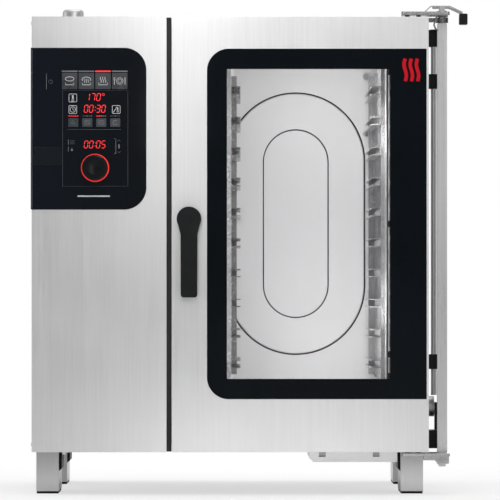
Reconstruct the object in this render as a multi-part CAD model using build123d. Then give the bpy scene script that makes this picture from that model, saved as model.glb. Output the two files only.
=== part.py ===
from build123d import *
import math
import os

# Combi steamer oven with a door that swings out and slides back along the right side.
# Millimetres, +Z up. The parts are laid out in casing coordinates: x from the casing's left side,
# y from the cavity's front plane towards the rear, z from the floor. They are saved about the row's
# origin, which is at floor level in the middle of the outline at rest.

# Casing
CASING_WIDTH = 875.0
CASING_REAR = 709.0
CASING_BOTTOM = 95.0
CASING_TOP = 1058.0
FRONT_FACE = -83.0          # front of the door and of the control housing
HOUSING_RIGHT = 298.0       # right side of the control housing
SHEET = 1.5                 # casing sheet
GAP = 0.25                  # gap round a part that sits in an opening
RIM_INSET = 2.0             # base rim, from the casing's outline
RIM_HEIGHT = 28.0
RIM_WIDTH = 25.0
RIM_SHEET = 2.0
RUNNER_LIP = 6.0            # lip that carries the drip tray
LOUVRE_COUNT = 12
LOUVRE_PITCH = 22.0
VENT_SLOT_COUNT = 9
VENT_SLOT_PITCH = 18.0

# Cavity
CAVITY_LEFT = 345.0
CAVITY_RIGHT = 787.0
CAVITY_FLOOR = 232.0
CAVITY_CEILING = 982.0
CAVITY_REAR = 600.0
CAVITY_CORNER = 22.0
MOUTH_LEFT = 400.0          # left edge of the opening in the front frame
LINER_WALL = 2.0
INSULATION = 30.0
EMBOSS_X = 592.0            # centre of the pressed stadium shapes on the rear wall
EMBOSS_Z = 610.0
EMBOSS_OUTER = (321.0, 612.0)
EMBOSS_INNER = (148.5, 438.0)
EMBOSS_DEPTH = 4.0
GASKET_WIDTH = 16.0
DOOR_GAP = 8.0              # from the casing's front plane to the inside of the door

# Racks
RAIL_COUNT = 10
RAIL_PITCH = 68.0
RAIL_FIRST = 288.0          # centre of the lowest rail
RAIL_HEIGHT = 18.0
RAIL_LIP = 20.0
RAIL_SHEET = 1.5
RAIL_FRONT = 37.0
RAIL_LENGTH = 530.0
TRAY_LEFT = 441.0           # inner face of the left rail's web
TRAY_RIGHT = 774.5          # inner face of the right rail's web
STOP_REACH = 12.0           # how far the stop behind the rails stands in a tray's way
POST_WIDTH = 9.0
POST_DEPTH = 8.0
POST_BOTTOM = 250.0
POST_TOP = 962.0

# Hot air fan, behind the suction panel on the cavity's left
FAN_Y = 300.0
FAN_Z = 607.0
FAN_RADIUS = 150.0
FAN_BLADES = 12
SHAFT_RADIUS = 10.0
HUB_RADIUS = 24.0
MOTOR_RADIUS = 60.0
SUCTION_X = 428.0
GRILLE_RADII = (22.0, 46.0, 70.0, 94.0)
GRILLE_SLOT = 16.0
ELEMENT_RADIUS = 180.0
ELEMENT_ROD = 4.5
TERMINAL_RADIUS = 200.0
RUNNING_FIT = 0.05

# Door
DOOR_LEFT = 309.4
DOOR_RIGHT = 877.6
DOOR_BOTTOM = 95.0
DOOR_TOP = 1057.5
DOOR_INSIDE = -DOOR_GAP
GLASS_LEFT = 387.4
GLASS_RIGHT = 873.0
GLASS_BOTTOM = 212.0
GLASS_TOP = 987.0
GLASS_CORNER = 48.0
GLASS_THICK = 6.0
TUNNEL_LEFT = 423.0
TUNNEL_RIGHT = 798.0
TUNNEL_BOTTOM = 249.0
TUNNEL_TOP = 951.0
PANE_LEFT = 372.0
PANE_RIGHT = 815.0
PANE_BOTTOM = 205.0
PANE_TOP = 1008.0
PANE_THICK = 5.0

# Door swing and slide
PIVOT_X = 911.0
PIVOT_Y = 13.0
POST_SIZE = 22.0
JOURNAL_RADIUS = 8.0
UPPER_ARM_Z = 1062.0
UPPER_ARM_THICK = 8.0
LOWER_ARM_TOP = 92.0
LOWER_ARM_THICK = 6.5
ARM_LEFT = 817.0
ARM_RIGHT = 925.0
CHANNEL_Y = -35.0
CHANNEL_WIDTH = 30.0
CHANNEL_HEIGHT = 20.0
CHANNEL_WALL = 2.0
SLOT_WIDTH = 13.0
GLIDE_RADIUS = 12.4
GLIDE_XS = (832.0, 857.0)
GLIDE_NECK = 5.0

# Handle
HANDLE_X = 348.0
HANDLE_Z = 610.0
HANDLE_HEAD = 27.0
HANDLE_DROP = 173.0
HANDLE_WIDTH = 36.0
HANDLE_FRONT = -130.0
HANDLE_BACK = -103.0
SPINDLE_RADIUS = 7.0

# Control panel
BEZEL_LEFT = -2.0
BEZEL_RIGHT = 253.5
BEZEL_BOTTOM = 631.0
BEZEL_TOP = 988.7
BEZEL_CORNER = 49.0
BEZEL_FACE = -85.5
KEY_FACE = -86.3
KEY_BACK = -79.5
KEY_TRAVEL = 0.8
MODE_KEYS = ("hot_air_key", "combi_key", "steam_key", "regenerate_key")
MODE_KEY_SIZE = (34.5, 36.5)
MODE_KEY_X = 84.0
MODE_KEY_Z = 915.3
MODE_KEY_PITCH = 36.9
FUNCTION_KEYS = ("function_key_1", "function_key_2", "function_key_3", "function_key_4")
FUNCTION_KEY_SIZE = (22.5, 19.5)
FUNCTION_KEY_X = 92.0
FUNCTION_KEY_Z = 823.5
FUNCTION_KEY_PITCH = 30.9
SETTING_KEY_SIZE = (22.0, 21.5)
SETTING_KEYS = {
    "temperature_key": (91.0, 877.8),
    "time_key": (91.0, 852.1),
    "core_probe_key": (187.0, 852.1),
}
DIAL_X = 140.2
DIAL_Z = 723.3
DIAL_RADIUS = 28.7
DIAL_RING = 31.8
DIAL_FACE = -108.0
DIAL_BACK = -88.2
DIAL_SHAFT = 3.0
DISH_RADIUS = 80.0          # sphere that hollows the dial's face
DISH_DEPTH = 1.5
FLAP_X = (4.0, 64.0)
FLAP_Z = (731.0, 768.0)
FLAP_THICK = 2.2

# Underside
LEG_WIDTH = 50.0
LEG_DEPTH = 180.0
LEG_FRONT_Y = 10.0
LEG_REAR_Y = 520.0
LEG_LEFT_X = 6.5
LEG_RIGHT_X = 818.5
LEG_WALL = 3.0
FOOT_HEIGHT = 5.0
FLANGE_THICK = 3.0
FLANGE_REACH = 33.5
TRAY_X = (615.0, 812.0)
TRAY_Z = (69.0, 91.0)
TRAY_Y = (35.0, 300.0)

# Water, steam and drain
BOILER_X = 110.0
BOILER_Y = 560.0
BOILER_RADIUS = 75.0
BOILER_BOTTOM = 140.0
BOILER_TOP = 470.0
BOILER_WALL = 2.0
BOILER_CORNER = 18.0
STEAM_Y = 520.0             # where the steam pipe enters the cavity
STEAM_Z = 560.0
STEAM_RADIUS = 10.0
STEAM_BORE = 8.0
INLET_RADIUS = 13.2
INLET_LENGTH = 16.0
INLET_XS = (90.0, 150.0)
INLET_Z = 180.0
DRAIN_RADIUS = 25.0
DRAIN_LENGTH = 40.0
DRAIN_X = 590.0
DRAIN_Z = 150.0
DRAIN_Y = 300.0
VENT_X = 82.5
VENT_Y = 185.0
VENT_RADIUS = 24.0
VENT_HEIGHT = 31.0

# Side hardware
ROD_X = 893.5
ROD_Y = 35.0
ROD_RADIUS = 6.5
ROD_Z = (219.0, 1036.0)
CLAMP_Y = (27.0, 47.0)
CLAMP_RIGHT = 902.5
CLAMPS = ((CASING_WIDTH, 277.0, 310.0), (CASING_WIDTH, 903.0, 936.0), (CASING_WIDTH + 3, 997.0, 1035.0))
ROLLER_X = (880.5, 895.5)
ROLLER_Y = 75.0
ROLLER_Z = 193.0
ROLLER_RADIUS = 23.0
ROLLER_AXLE = 5.0

# Release lever
LEVER_RIGHT = 968.0
LEVER_WIDTH = 20.0
LEVER_LOW = 1075.0          # underside of the lever's free left end
LEVER_RISE = 11.0
LEVER_STRIP = 2.6
LEVER_HUB = 5.0
LEVER_PIN = 2.5
LEVER_PIN_Z = LEVER_LOW + LEVER_RISE - LEVER_STRIP / 2 - LEVER_HUB + 0.1

ORIGIN_X = (BEZEL_LEFT + LEVER_RIGHT) / 2
ORIGIN_Y = (HANDLE_FRONT + CASING_REAR + DRAIN_LENGTH) / 2


def block(x, y, z):
    """A box from three (low, high) pairs."""
    middle = Pos((x[0] + x[1]) / 2, (y[0] + y[1]) / 2, (z[0] + z[1]) / 2)
    return middle * Box(x[1] - x[0], y[1] - y[0], z[1] - z[0])


def rod_x(radius, x, y, z):
    return Pos((x[0] + x[1]) / 2, y, z) * Rot(0, 90, 0) * Cylinder(radius, x[1] - x[0])


def rod_y(radius, x, y, z):
    return Pos(x, (y[0] + y[1]) / 2, z) * Rot(90, 0, 0) * Cylinder(radius, y[1] - y[0])


def rod_z(radius, x, y, z):
    return Pos(x, y, (z[0] + z[1]) / 2) * Cylinder(radius, z[1] - z[0])


def facing(sketch, y):
    """A sketch drawn in x and z, given thickness from y[0] to y[1]."""
    return extrude(Plane.XZ.offset(-y[1]) * sketch, y[1] - y[0])


def rectangle(x, z, corner=0.0):
    """A sketch rectangle in x and z, with every corner rounded if a radius is given."""
    width, height = x[1] - x[0], z[1] - z[0]
    flat = RectangleRounded(width, height, corner) if corner else Rectangle(width, height)
    return Pos((x[0] + x[1]) / 2, (z[0] + z[1]) / 2) * flat


def stadium(size, x, z):
    """An upright slot shape, size being its width and height, a hair short of full half circles."""
    return Pos(x, z) * RectangleRounded(size[0], size[1], size[0] / 2 - 0.01)


def tube_path(points, bend, radius):
    """A round bar that runs through the points, with bends of one radius between them."""
    path = FilletPolyline(*points, radius=bend)
    start = Plane(origin=path @ 0, z_dir=path % 0)
    return sweep(start * Circle(radius), path=path)


# Casing sheets


def base_frame():
    """Floor pan with a rim of folded angle, two cross members and the drip tray's runners."""
    pan = block((0, CASING_WIDTH), (0, CASING_REAR), (CASING_BOTTOM, CASING_BOTTOM + SHEET))
    low, high = CASING_BOTTOM + SHEET, CASING_BOTTOM + RIM_HEIGHT
    inset = RIM_INSET + RIM_SHEET
    inner = RIM_INSET + RIM_WIDTH
    rim = block((RIM_INSET, CASING_WIDTH - RIM_INSET), (RIM_INSET, CASING_REAR - RIM_INSET), (low, high))
    rim -= block((inset, CASING_WIDTH - inset), (inset, CASING_REAR - inset), (low, high - RIM_SHEET))
    rim -= block((inner, CASING_WIDTH - inner), (inner, CASING_REAR - inner), (low, high))
    frame = pan + rim
    for y in (LEG_DEPTH, LEG_REAR_Y):
        frame += block((inset, CASING_WIDTH - inset), (y, y + RIM_SHEET), (low, high))
        frame += block((inset, CASING_WIDTH - inset), (y, y + RIM_WIDTH), (high - RIM_SHEET, high))
    runner_y = (TRAY_Y[0] + 10, TRAY_Y[1])
    for x, out in ((TRAY_X[0] + 9, -1), (TRAY_X[1] - 9, 1)):
        web = sorted((x, x - RIM_SHEET * out))
        lip = sorted((x, x + RUNNER_LIP * out))
        frame += block(web, runner_y, (TRAY_Z[1] - 5, CASING_BOTTOM))
        frame += block(lip, runner_y, (TRAY_Z[1] - 5, TRAY_Z[1] - 3.3))
    return frame


def left_side_panel():
    """Side sheet of the technical compartment, with two rows of air slots low down."""
    panel = block((0, SHEET), (FRONT_FACE + SHEET, CASING_REAR - SHEET),
                  (CASING_BOTTOM + SHEET, CASING_TOP - SHEET))
    for row in range(2):
        for step in range(LOUVRE_COUNT):
            y = 380 + LOUVRE_PITCH * step
            z = 170 + 62 * row
            panel -= block((-1, SHEET + 1), (y, y + 7), (z, z + 48))
    return panel


def right_side_panel():
    return block((CASING_WIDTH - SHEET, CASING_WIDTH), (SHEET, CASING_REAR - SHEET),
                 (CASING_BOTTOM + SHEET, CASING_TOP - SHEET))


def rear_panel():
    """Back sheet with the water, drain and cooling air openings."""
    y = (CASING_REAR - SHEET, CASING_REAR)
    panel = block((0, CASING_WIDTH), y, (CASING_BOTTOM + SHEET, CASING_TOP))
    for x in INLET_XS:
        panel -= rod_y(INLET_RADIUS + 1, x, (y[0] - 1, y[1] + 1), INLET_Z)
    panel -= rod_y(DRAIN_RADIUS + 1, DRAIN_X, (y[0] - 1, y[1] + 1), DRAIN_Z)
    for step in range(VENT_SLOT_COUNT):
        z = 780 + VENT_SLOT_PITCH * step
        panel -= block((60, 240), (y[0] - 1, y[1] + 1), (z, z + 6))
    return panel


def top_cover():
    """Top sheet with the opening for the cavity vent."""
    cover = block((0, CASING_WIDTH), (0, CASING_REAR - SHEET), (CASING_TOP - SHEET, CASING_TOP))
    return cover - rod_z(VENT_RADIUS - 4, VENT_X, VENT_Y, (CASING_TOP - 5, CASING_TOP + 5))


def control_front_panel():
    """Front of the control housing, folded back at its right, top and bottom."""
    outer = block((0, HOUSING_RIGHT), (FRONT_FACE, 0), (CASING_BOTTOM, CASING_TOP))
    hollow = block((-1, HOUSING_RIGHT - SHEET), (FRONT_FACE + SHEET, 1),
                   (CASING_BOTTOM + SHEET, CASING_TOP - SHEET))
    window = rectangle((8, BEZEL_RIGHT - 9), (BEZEL_BOTTOM + 9, BEZEL_TOP - 9), BEZEL_CORNER - 9)
    window += rectangle((2.5, BEZEL_RIGHT / 2), (BEZEL_BOTTOM + 9, BEZEL_TOP - 9))
    housing = outer - hollow - facing(window, (FRONT_FACE - 1, FRONT_FACE + SHEET + 1))
    return housing


def front_frame():
    """Front wall of the oven side, with the cavity's mouth in it."""
    wall = rectangle((HOUSING_RIGHT, CASING_WIDTH), (CASING_BOTTOM + SHEET, CASING_TOP - SHEET))
    wall -= rectangle((MOUTH_LEFT, CAVITY_RIGHT), (CAVITY_FLOOR, CAVITY_CEILING), CAVITY_CORNER)
    return facing(wall, (0, SHEET))


# Cavity


def cavity_shape(grow, y):
    """The cavity's hollow, grown by a wall thickness, with its upright rear corners rounded."""
    shape = block((CAVITY_LEFT - grow, CAVITY_RIGHT + grow), y,
                  (CAVITY_FLOOR - grow, CAVITY_CEILING + grow))
    rear_edges = shape.edges().filter_by(Axis.Z).group_by(Axis.Y)[-1]
    return fillet(rear_edges, CAVITY_CORNER + grow)


def pressed_band():
    """The raised band between two stadium outlines on the rear wall, with soft edges."""
    band = stadium(EMBOSS_OUTER, EMBOSS_X, EMBOSS_Z) - stadium(EMBOSS_INNER, EMBOSS_X, EMBOSS_Z)
    plate = facing(band, (CAVITY_REAR - EMBOSS_DEPTH, CAVITY_REAR))
    front = plate.faces().sort_by(Axis.Y)[0]
    return chamfer(front.edges(), EMBOSS_DEPTH * 0.8)


def element_terminals():
    """Where the three heating rings pass the cavity's left wall, as (y, z) pairs."""
    places = []
    for ring in range(3):
        for side in (-1, 1):
            angle = math.radians(90 + side * (8 + 9 * ring))
            places.append((FAN_Y + TERMINAL_RADIUS * math.cos(angle),
                           FAN_Z + TERMINAL_RADIUS * math.sin(angle)))
    return places


def rack_pegs():
    """Pegs on the right wall that the right rack's posts stand on."""
    pegs = []
    for y in post_ys():
        z = (POST_BOTTOM - 6, POST_BOTTOM)
        pegs.append(block((TRAY_RIGHT + RAIL_SHEET, CAVITY_RIGHT), (y, y + POST_DEPTH), z))
    return pegs


def cavity_liner():
    """Welded oven chamber, open at the front, with the pressed shapes on its rear wall."""
    liner = cavity_shape(LINER_WALL, (SHEET, CAVITY_REAR + LINER_WALL))
    liner -= cavity_shape(0, (0, CAVITY_REAR))
    liner += pressed_band()
    liner += rack_pegs()
    for z in (822, 955):
        liner += rod_y(5, TRAY_RIGHT - 17, (CAVITY_REAR - 14, CAVITY_REAR), z)
    liner -= rod_x(SHAFT_RADIUS + 2, (CAVITY_LEFT - 5, CAVITY_LEFT + 1), FAN_Y, FAN_Z)
    for y, z in element_terminals():
        liner -= rod_x(6, (CAVITY_LEFT - 5, CAVITY_LEFT + 1), y, z)
    liner -= rod_x(STEAM_RADIUS + 0.5, (CAVITY_LEFT - 5, CAVITY_LEFT + 1), STEAM_Y, STEAM_Z)
    liner -= rod_z(DRAIN_RADIUS - 3, DRAIN_X, DRAIN_Y, (CAVITY_FLOOR - 5, CAVITY_FLOOR + 1))
    return liner


def cavity_insulation():
    """Fibre jacket round the liner, left open where the motor, pipes and terminals pass."""
    space = 0.5
    jacket = block((CAVITY_LEFT - LINER_WALL - INSULATION, CAVITY_RIGHT + LINER_WALL + INSULATION),
                   (SHEET + space, CAVITY_REAR + LINER_WALL + INSULATION),
                   (CAVITY_FLOOR - LINER_WALL - INSULATION, CAVITY_CEILING + LINER_WALL + INSULATION))
    jacket -= block((CAVITY_LEFT - LINER_WALL - space, CAVITY_RIGHT + LINER_WALL + space),
                    (0, CAVITY_REAR + LINER_WALL + space),
                    (CAVITY_FLOOR - LINER_WALL - space, CAVITY_CEILING + LINER_WALL + space))
    left = (CAVITY_LEFT - INSULATION - 10, CAVITY_LEFT)
    jacket -= block(left, (FAN_Y - 95, FAN_Y + 95), (FAN_Z - 95, FAN_Z + 95))
    jacket -= block(left, (FAN_Y - 110, FAN_Y + 110), (FAN_Z + 165, FAN_Z + 225))
    jacket -= rod_x(STEAM_RADIUS + 4, left, STEAM_Y, STEAM_Z)
    return jacket - rod_z(DRAIN_RADIUS + 1, DRAIN_X, DRAIN_Y, (CAVITY_FLOOR - 50, CAVITY_FLOOR))


def door_seals():
    """Rubber ring round the cavity's mouth, and the strip beside the door's free edge."""
    wide = GASKET_WIDTH
    ring = rectangle((MOUTH_LEFT - wide, CAVITY_RIGHT + wide),
                     (CAVITY_FLOOR - wide, CAVITY_CEILING + wide), CAVITY_CORNER + wide)
    ring -= rectangle((MOUTH_LEFT, CAVITY_RIGHT), (CAVITY_FLOOR, CAVITY_CEILING), CAVITY_CORNER)
    gasket = facing(ring, (-DOOR_GAP + 0.1, 0))
    gasket = fillet(gasket.faces().sort_by(Axis.Y)[0].edges(), 3)
    strip = block((HOUSING_RIGHT, DOOR_LEFT - 1), (FRONT_FACE + 12, FRONT_FACE + 30),
                  (CASING_BOTTOM + 1, DOOR_TOP - 1))
    return [gasket, strip]


def post_ys():
    return (RAIL_FRONT + 5, RAIL_FRONT + 260, RAIL_FRONT + RAIL_LENGTH - 13)


def rack(web_face, inward):
    """Welded rack: ten C rails open towards the middle, three upright posts and a tray stop."""
    back = web_face - inward * RAIL_SHEET
    web = sorted((web_face, back))
    lip = sorted((web_face, web_face + inward * RAIL_LIP))
    post = sorted((back, back - inward * POST_WIDTH))
    stop = sorted((web_face + inward * STOP_REACH, back - inward * POST_WIDTH))
    y = (RAIL_FRONT, RAIL_FRONT + RAIL_LENGTH)
    frame = []
    for level in range(RAIL_COUNT):
        low = RAIL_FIRST + RAIL_PITCH * level - RAIL_HEIGHT / 2
        high = low + RAIL_HEIGHT
        rail = block(web, y, (low, high))
        rail += block(lip, y, (low, low + RAIL_SHEET))
        rail += block(lip, y, (high - RAIL_SHEET, high))
        frame.append(rail)
    for front in post_ys():
        frame.append(block(post, (front, front + POST_DEPTH), (POST_BOTTOM, POST_TOP)))
    frame.append(block(stop, (y[1], y[1] + RAIL_SHEET), (POST_BOTTOM + 6, POST_TOP - 6)))
    return frame


def left_rack():
    return rack(TRAY_LEFT, 1)


def right_rack():
    return rack(TRAY_RIGHT, -1)


def suction_panel():
    """Air baffle in front of the fan: a plate with a round grille, on four standoffs."""
    x = (SUCTION_X, SUCTION_X + 2)
    y = (16, CAVITY_REAR - 20)
    z = (CAVITY_FLOOR + 14, CAVITY_CEILING - 14)
    panel = block(x, y, z)
    for inner in GRILLE_RADII:
        slot = rod_x(inner + GRILLE_SLOT, x, FAN_Y, FAN_Z) - rod_x(inner, x, FAN_Y, FAN_Z)
        for turn in range(4):
            slot -= Pos(SUCTION_X + 1, FAN_Y, FAN_Z) * Rot(45 * turn, 0, 0) * Box(4, 7, 300)
        panel -= slot
    panel += block((MOUTH_LEFT + 4, SUCTION_X), (16, 18), z)
    for pin_y in (60, CAVITY_REAR - 60):
        for pin_z in (CAVITY_FLOOR + 60, CAVITY_CEILING - 60):
            panel += rod_x(6, (CAVITY_LEFT, SUCTION_X), pin_y, pin_z)
    for front in post_ys():
        stand = (POST_BOTTOM - 6, POST_BOTTOM)
        panel += block((SUCTION_X + 2, TRAY_LEFT - RAIL_SHEET), (front, front + POST_DEPTH), stand)
    return panel


# Hot air


def fan_wheel():
    """Radial wheel: back disc, curved-back blades, front ring and a bored hub."""
    back = (362.0, 364.0)
    ring = (408.0, 410.0)
    wheel = rod_x(FAN_RADIUS, back, FAN_Y, FAN_Z)
    wheel += rod_x(FAN_RADIUS, ring, FAN_Y, FAN_Z) - rod_x(FAN_RADIUS - 40, ring, FAN_Y, FAN_Z)
    for blade in range(FAN_BLADES):
        turn = Rot(360 / FAN_BLADES * blade, 0, 0)
        lean = Pos(0, 0, 118) * Rot(28, 0, 0) * Box(ring[0] - back[1], 2.5, 56)
        wheel += Pos((back[1] + ring[0]) / 2, FAN_Y, FAN_Z) * turn * lean
    wheel += rod_x(HUB_RADIUS, (352, 386), FAN_Y, FAN_Z)
    return wheel - rod_x(SHAFT_RADIUS + RUNNING_FIT, (340, 400), FAN_Y, FAN_Z)


def fan_motor():
    """Motor with cooling ribs, mounting plate, spacer studs and the fan's shaft."""
    motor = rod_x(MOTOR_RADIUS, (172, 306), FAN_Y, FAN_Z)
    for rib in range(16):
        turn = Rot(22.5 * rib, 0, 0)
        motor += Pos(237, FAN_Y, FAN_Z) * turn * Pos(0, 0, MOTOR_RADIUS + 2) * Box(96, 3, 14)
    motor += block((306, 312), (FAN_Y - 80, FAN_Y + 80), (FAN_Z - 80, FAN_Z + 80))
    motor += rod_x(SHAFT_RADIUS, (312, 384), FAN_Y, FAN_Z)
    for side in (-66, 66):
        for end in (-66, 66):
            motor += rod_x(6, (312, CAVITY_LEFT - LINER_WALL), FAN_Y + side, FAN_Z + end)
    return motor


def heating_element():
    """Three tubular rings round the fan, each with two terminals through the cavity wall."""
    rings = []
    terminals = element_terminals()
    for index in range(3):
        x = 366 + 21 * index
        ring = Pos(x, FAN_Y, FAN_Z) * Rot(0, 90, 0) * Torus(ELEMENT_RADIUS, ELEMENT_ROD)
        for y, z in terminals[2 * index:2 * index + 2]:
            angle = math.degrees(math.atan2(z - FAN_Z, y - FAN_Y))
            middle = Pos(0, 0, (ELEMENT_RADIUS + TERMINAL_RADIUS) / 2)
            radial = middle * Cylinder(ELEMENT_ROD, TERMINAL_RADIUS - ELEMENT_RADIUS)
            ring += Pos(x, FAN_Y, FAN_Z) * Rot(angle - 90, 0, 0) * radial
            ring += rod_x(ELEMENT_ROD, (322, x + ELEMENT_ROD), y, z)
        rings.append(ring)
    return rings


# Steam, water and drain


def boiler_shape(shrink):
    """The boiler's upright body with round ends, made smaller by a wall thickness."""
    body = rod_z(BOILER_RADIUS - shrink, BOILER_X, BOILER_Y, (BOILER_BOTTOM + shrink, BOILER_TOP - shrink))
    return fillet(body.edges().filter_by(GeomType.CIRCLE), BOILER_CORNER - shrink)


def steam_generator():
    """Upright hollow boiler with a flange, and the steam pipe that enters the cavity."""
    boiler = boiler_shape(0) + rod_z(BOILER_RADIUS + 9, BOILER_X, BOILER_Y, (395, 405))
    points = [(BOILER_X, BOILER_Y, BOILER_TOP - 10), (BOILER_X, BOILER_Y, STEAM_Z),
              (180, STEAM_Y, STEAM_Z), (CAVITY_LEFT - LINER_WALL, STEAM_Y, STEAM_Z)]
    boiler += tube_path(points, 22, STEAM_RADIUS)
    boiler -= boiler_shape(BOILER_WALL)
    return boiler - tube_path(points, 22, STEAM_BORE)


def drain_pipe():
    """Pipe from the cavity floor to the stub behind the rear panel."""
    points = [(DRAIN_X, DRAIN_Y, CAVITY_FLOOR - LINER_WALL), (DRAIN_X, DRAIN_Y, DRAIN_Z),
              (DRAIN_X, CASING_REAR + DRAIN_LENGTH, DRAIN_Z)]
    stub = rod_y(DRAIN_RADIUS, DRAIN_X, (CASING_REAR, CASING_REAR + DRAIN_LENGTH), DRAIN_Z)
    pipe = tube_path(points, 45, DRAIN_RADIUS - 0.5) + stub
    return pipe - tube_path(points, 45, DRAIN_RADIUS - 3)


def water_inlets():
    """Two inlet unions through the rear panel, each with its solenoid valve inside."""
    unions = []
    for x in INLET_XS:
        union = rod_y(INLET_RADIUS, x, (CASING_REAR, CASING_REAR + INLET_LENGTH), INLET_Z)
        union += rod_y(INLET_RADIUS - 1.5, x, (CASING_REAR - 30, CASING_REAR), INLET_Z)
        union += block((x - 20, x + 20), (CASING_REAR - 64, CASING_REAR - 30),
                       (INLET_Z - 22, INLET_Z + 22))
        union += rod_z(14, x, CASING_REAR - 47, (INLET_Z + 22, INLET_Z + 56))
        union -= rod_y(8, x, (CASING_REAR - 20, CASING_REAR + INLET_LENGTH), INLET_Z)
        unions.append(union)
    return unions


def vent_dome():
    """Cavity vent: a stub tube under a round cap on the casing's top."""
    foot = rod_z(VENT_RADIUS - 5, VENT_X, VENT_Y, (CASING_TOP - 30, CASING_TOP))
    flange = rod_z(VENT_RADIUS + 4, VENT_X, VENT_Y, (CASING_TOP, CASING_TOP + 2))
    cap = rod_z(VENT_RADIUS, VENT_X, VENT_Y, (CASING_TOP + 2, CASING_TOP + VENT_HEIGHT))
    cap = fillet(cap.edges().group_by(Axis.Z)[-1], 8)
    dome = foot + flange + cap
    return dome - rod_z(VENT_RADIUS - 8, VENT_X, VENT_Y, (CASING_TOP - 31, CASING_TOP + 20))


# Underside


def leg_places():
    """Left and front edges of the four legs."""
    return [(x, y) for x in (LEG_LEFT_X, LEG_RIGHT_X) for y in (LEG_FRONT_Y, LEG_REAR_Y)]


def flange_span(x):
    """How far the leg's top flange runs along x: inwards on the left, along the leg on the right."""
    reach = FLANGE_REACH if x == LEG_LEFT_X else 0
    return (x, x + LEG_WIDTH + reach)


def leg_bolt_places():
    """Bolt centres on the flanges: beside the left legs, behind or in front of the right ones."""
    places = []
    for x, y in leg_places():
        if x == LEG_LEFT_X:
            places += [(67.0, y + 30), (67.0, y + LEG_DEPTH - 30)]
        else:
            across = y + LEG_DEPTH + 12 if y == LEG_FRONT_Y else y - 12
            places += [(x + 12, across), (x + LEG_WIDTH - 12, across)]
    return places


def legs():
    """Four box-section legs with bolted top flanges."""
    made = []
    for x, y in leg_places():
        z = (FOOT_HEIGHT, CASING_BOTTOM - FLANGE_THICK)
        leg = block((x, x + LEG_WIDTH), (y, y + LEG_DEPTH), z)
        leg -= block((x + LEG_WALL, x + LEG_WIDTH - LEG_WALL),
                     (y + LEG_WALL, y + LEG_DEPTH - LEG_WALL), (z[0], z[1] - LEG_WALL))
        along = (y, y + LEG_DEPTH)
        if x == LEG_RIGHT_X:
            along = (y, along[1] + 24) if y == LEG_FRONT_Y else (y - 24, along[1])
        leg += block(flange_span(x), along, (z[1], CASING_BOTTOM))
        made.append(leg)
    return made


def leg_feet():
    """Plastic shoes under the legs."""
    feet = []
    for x, y in leg_places():
        shoe = block((x + 1, x + LEG_WIDTH - 1), (y + 1, y + LEG_DEPTH - 1), (0, FOOT_HEIGHT))
        plug = block((x + LEG_WALL + GAP, x + LEG_WIDTH - LEG_WALL - GAP),
                     (y + LEG_WALL + GAP, y + LEG_DEPTH - LEG_WALL - GAP),
                     (FOOT_HEIGHT, FOOT_HEIGHT + 8))
        feet.append(shoe + plug)
    return feet


def leg_bolts():
    """Hexagon bolt heads under the leg flanges."""
    top = CASING_BOTTOM - FLANGE_THICK
    head = extrude(RegularPolygon(7.5, 6), 6)
    return [Pos(x, y, top - 6) * head for x, y in leg_bolt_places()]


def drip_tray():
    """Shallow tray that hangs by its inward rims on the base's runners."""
    outer = block(TRAY_X, TRAY_Y, TRAY_Z)
    corner = outer.edges().filter_by(Axis.Y).group_by(Axis.Z)[0].sort_by(Axis.X)[0]
    outer = chamfer(corner, 9)
    inner = block((TRAY_X[0] + 2, TRAY_X[1] - 2), (TRAY_Y[0] + 2, TRAY_Y[1] - 2),
                  (TRAY_Z[0] + 11, TRAY_Z[1] + 1))
    inner += block((TRAY_X[0] + 12, TRAY_X[1] - 2), (TRAY_Y[0] + 2, TRAY_Y[1] - 2),
                   (TRAY_Z[0] + 2, TRAY_Z[1] + 1))
    tray = outer - inner
    rear = (TRAY_Y[1] - 3, TRAY_Y[1] + 1)
    tray -= block((TRAY_X[0] + 2, TRAY_X[1] - 2), rear, (TRAY_Z[1] - 6, TRAY_Z[1] + 1))
    for rim in ((TRAY_X[0], TRAY_X[0] + 6), (TRAY_X[1] - 6, TRAY_X[1])):
        tray += block(rim, (TRAY_Y[0], TRAY_Y[1] - 3), (TRAY_Z[1] - 2, TRAY_Z[1]))
    return tray


# Door


def glass_outline(shrink):
    """The outer glass: round corners at the left, square ones at the right."""
    x = (GLASS_LEFT + shrink, GLASS_RIGHT - shrink)
    z = (GLASS_BOTTOM + shrink, GLASS_TOP - shrink)
    return rectangle(x, z, GLASS_CORNER) + rectangle(((x[0] + x[1]) / 2, x[1]), z)


def door_outer_shell():
    """Steel pan of the door, with the glass opening, the handle's boss and the glide slots."""
    shell = block((DOOR_LEFT, DOOR_RIGHT), (FRONT_FACE, DOOR_INSIDE), (DOOR_BOTTOM, DOOR_TOP))
    shell -= block((DOOR_LEFT + SHEET, DOOR_RIGHT - SHEET), (FRONT_FACE + SHEET, DOOR_INSIDE + 1),
                   (DOOR_BOTTOM + SHEET, DOOR_TOP - SHEET))
    shell -= facing(glass_outline(0), (FRONT_FACE - 1, FRONT_FACE + SHEET + 1))
    shell += rod_y(14, HANDLE_X, (FRONT_FACE, FRONT_FACE + 24), HANDLE_Z)
    shell -= rod_y(SPINDLE_RADIUS + RUNNING_FIT, HANDLE_X, (FRONT_FACE - 1, FRONT_FACE + 25), HANDLE_Z)
    slot_y = (CHANNEL_Y - SLOT_WIDTH / 2, CHANNEL_Y + SLOT_WIDTH / 2)
    for z in ((DOOR_BOTTOM - 1, DOOR_BOTTOM + SHEET + 1), (DOOR_TOP - SHEET - 1, DOOR_TOP + 1)):
        shell -= block((DOOR_LEFT + 26, DOOR_RIGHT - 6), slot_y, z)
    return shell


def door_glass():
    """Outer pane, flush with the door's steel front."""
    return facing(glass_outline(GAP), (FRONT_FACE, FRONT_FACE + GLASS_THICK))


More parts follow.
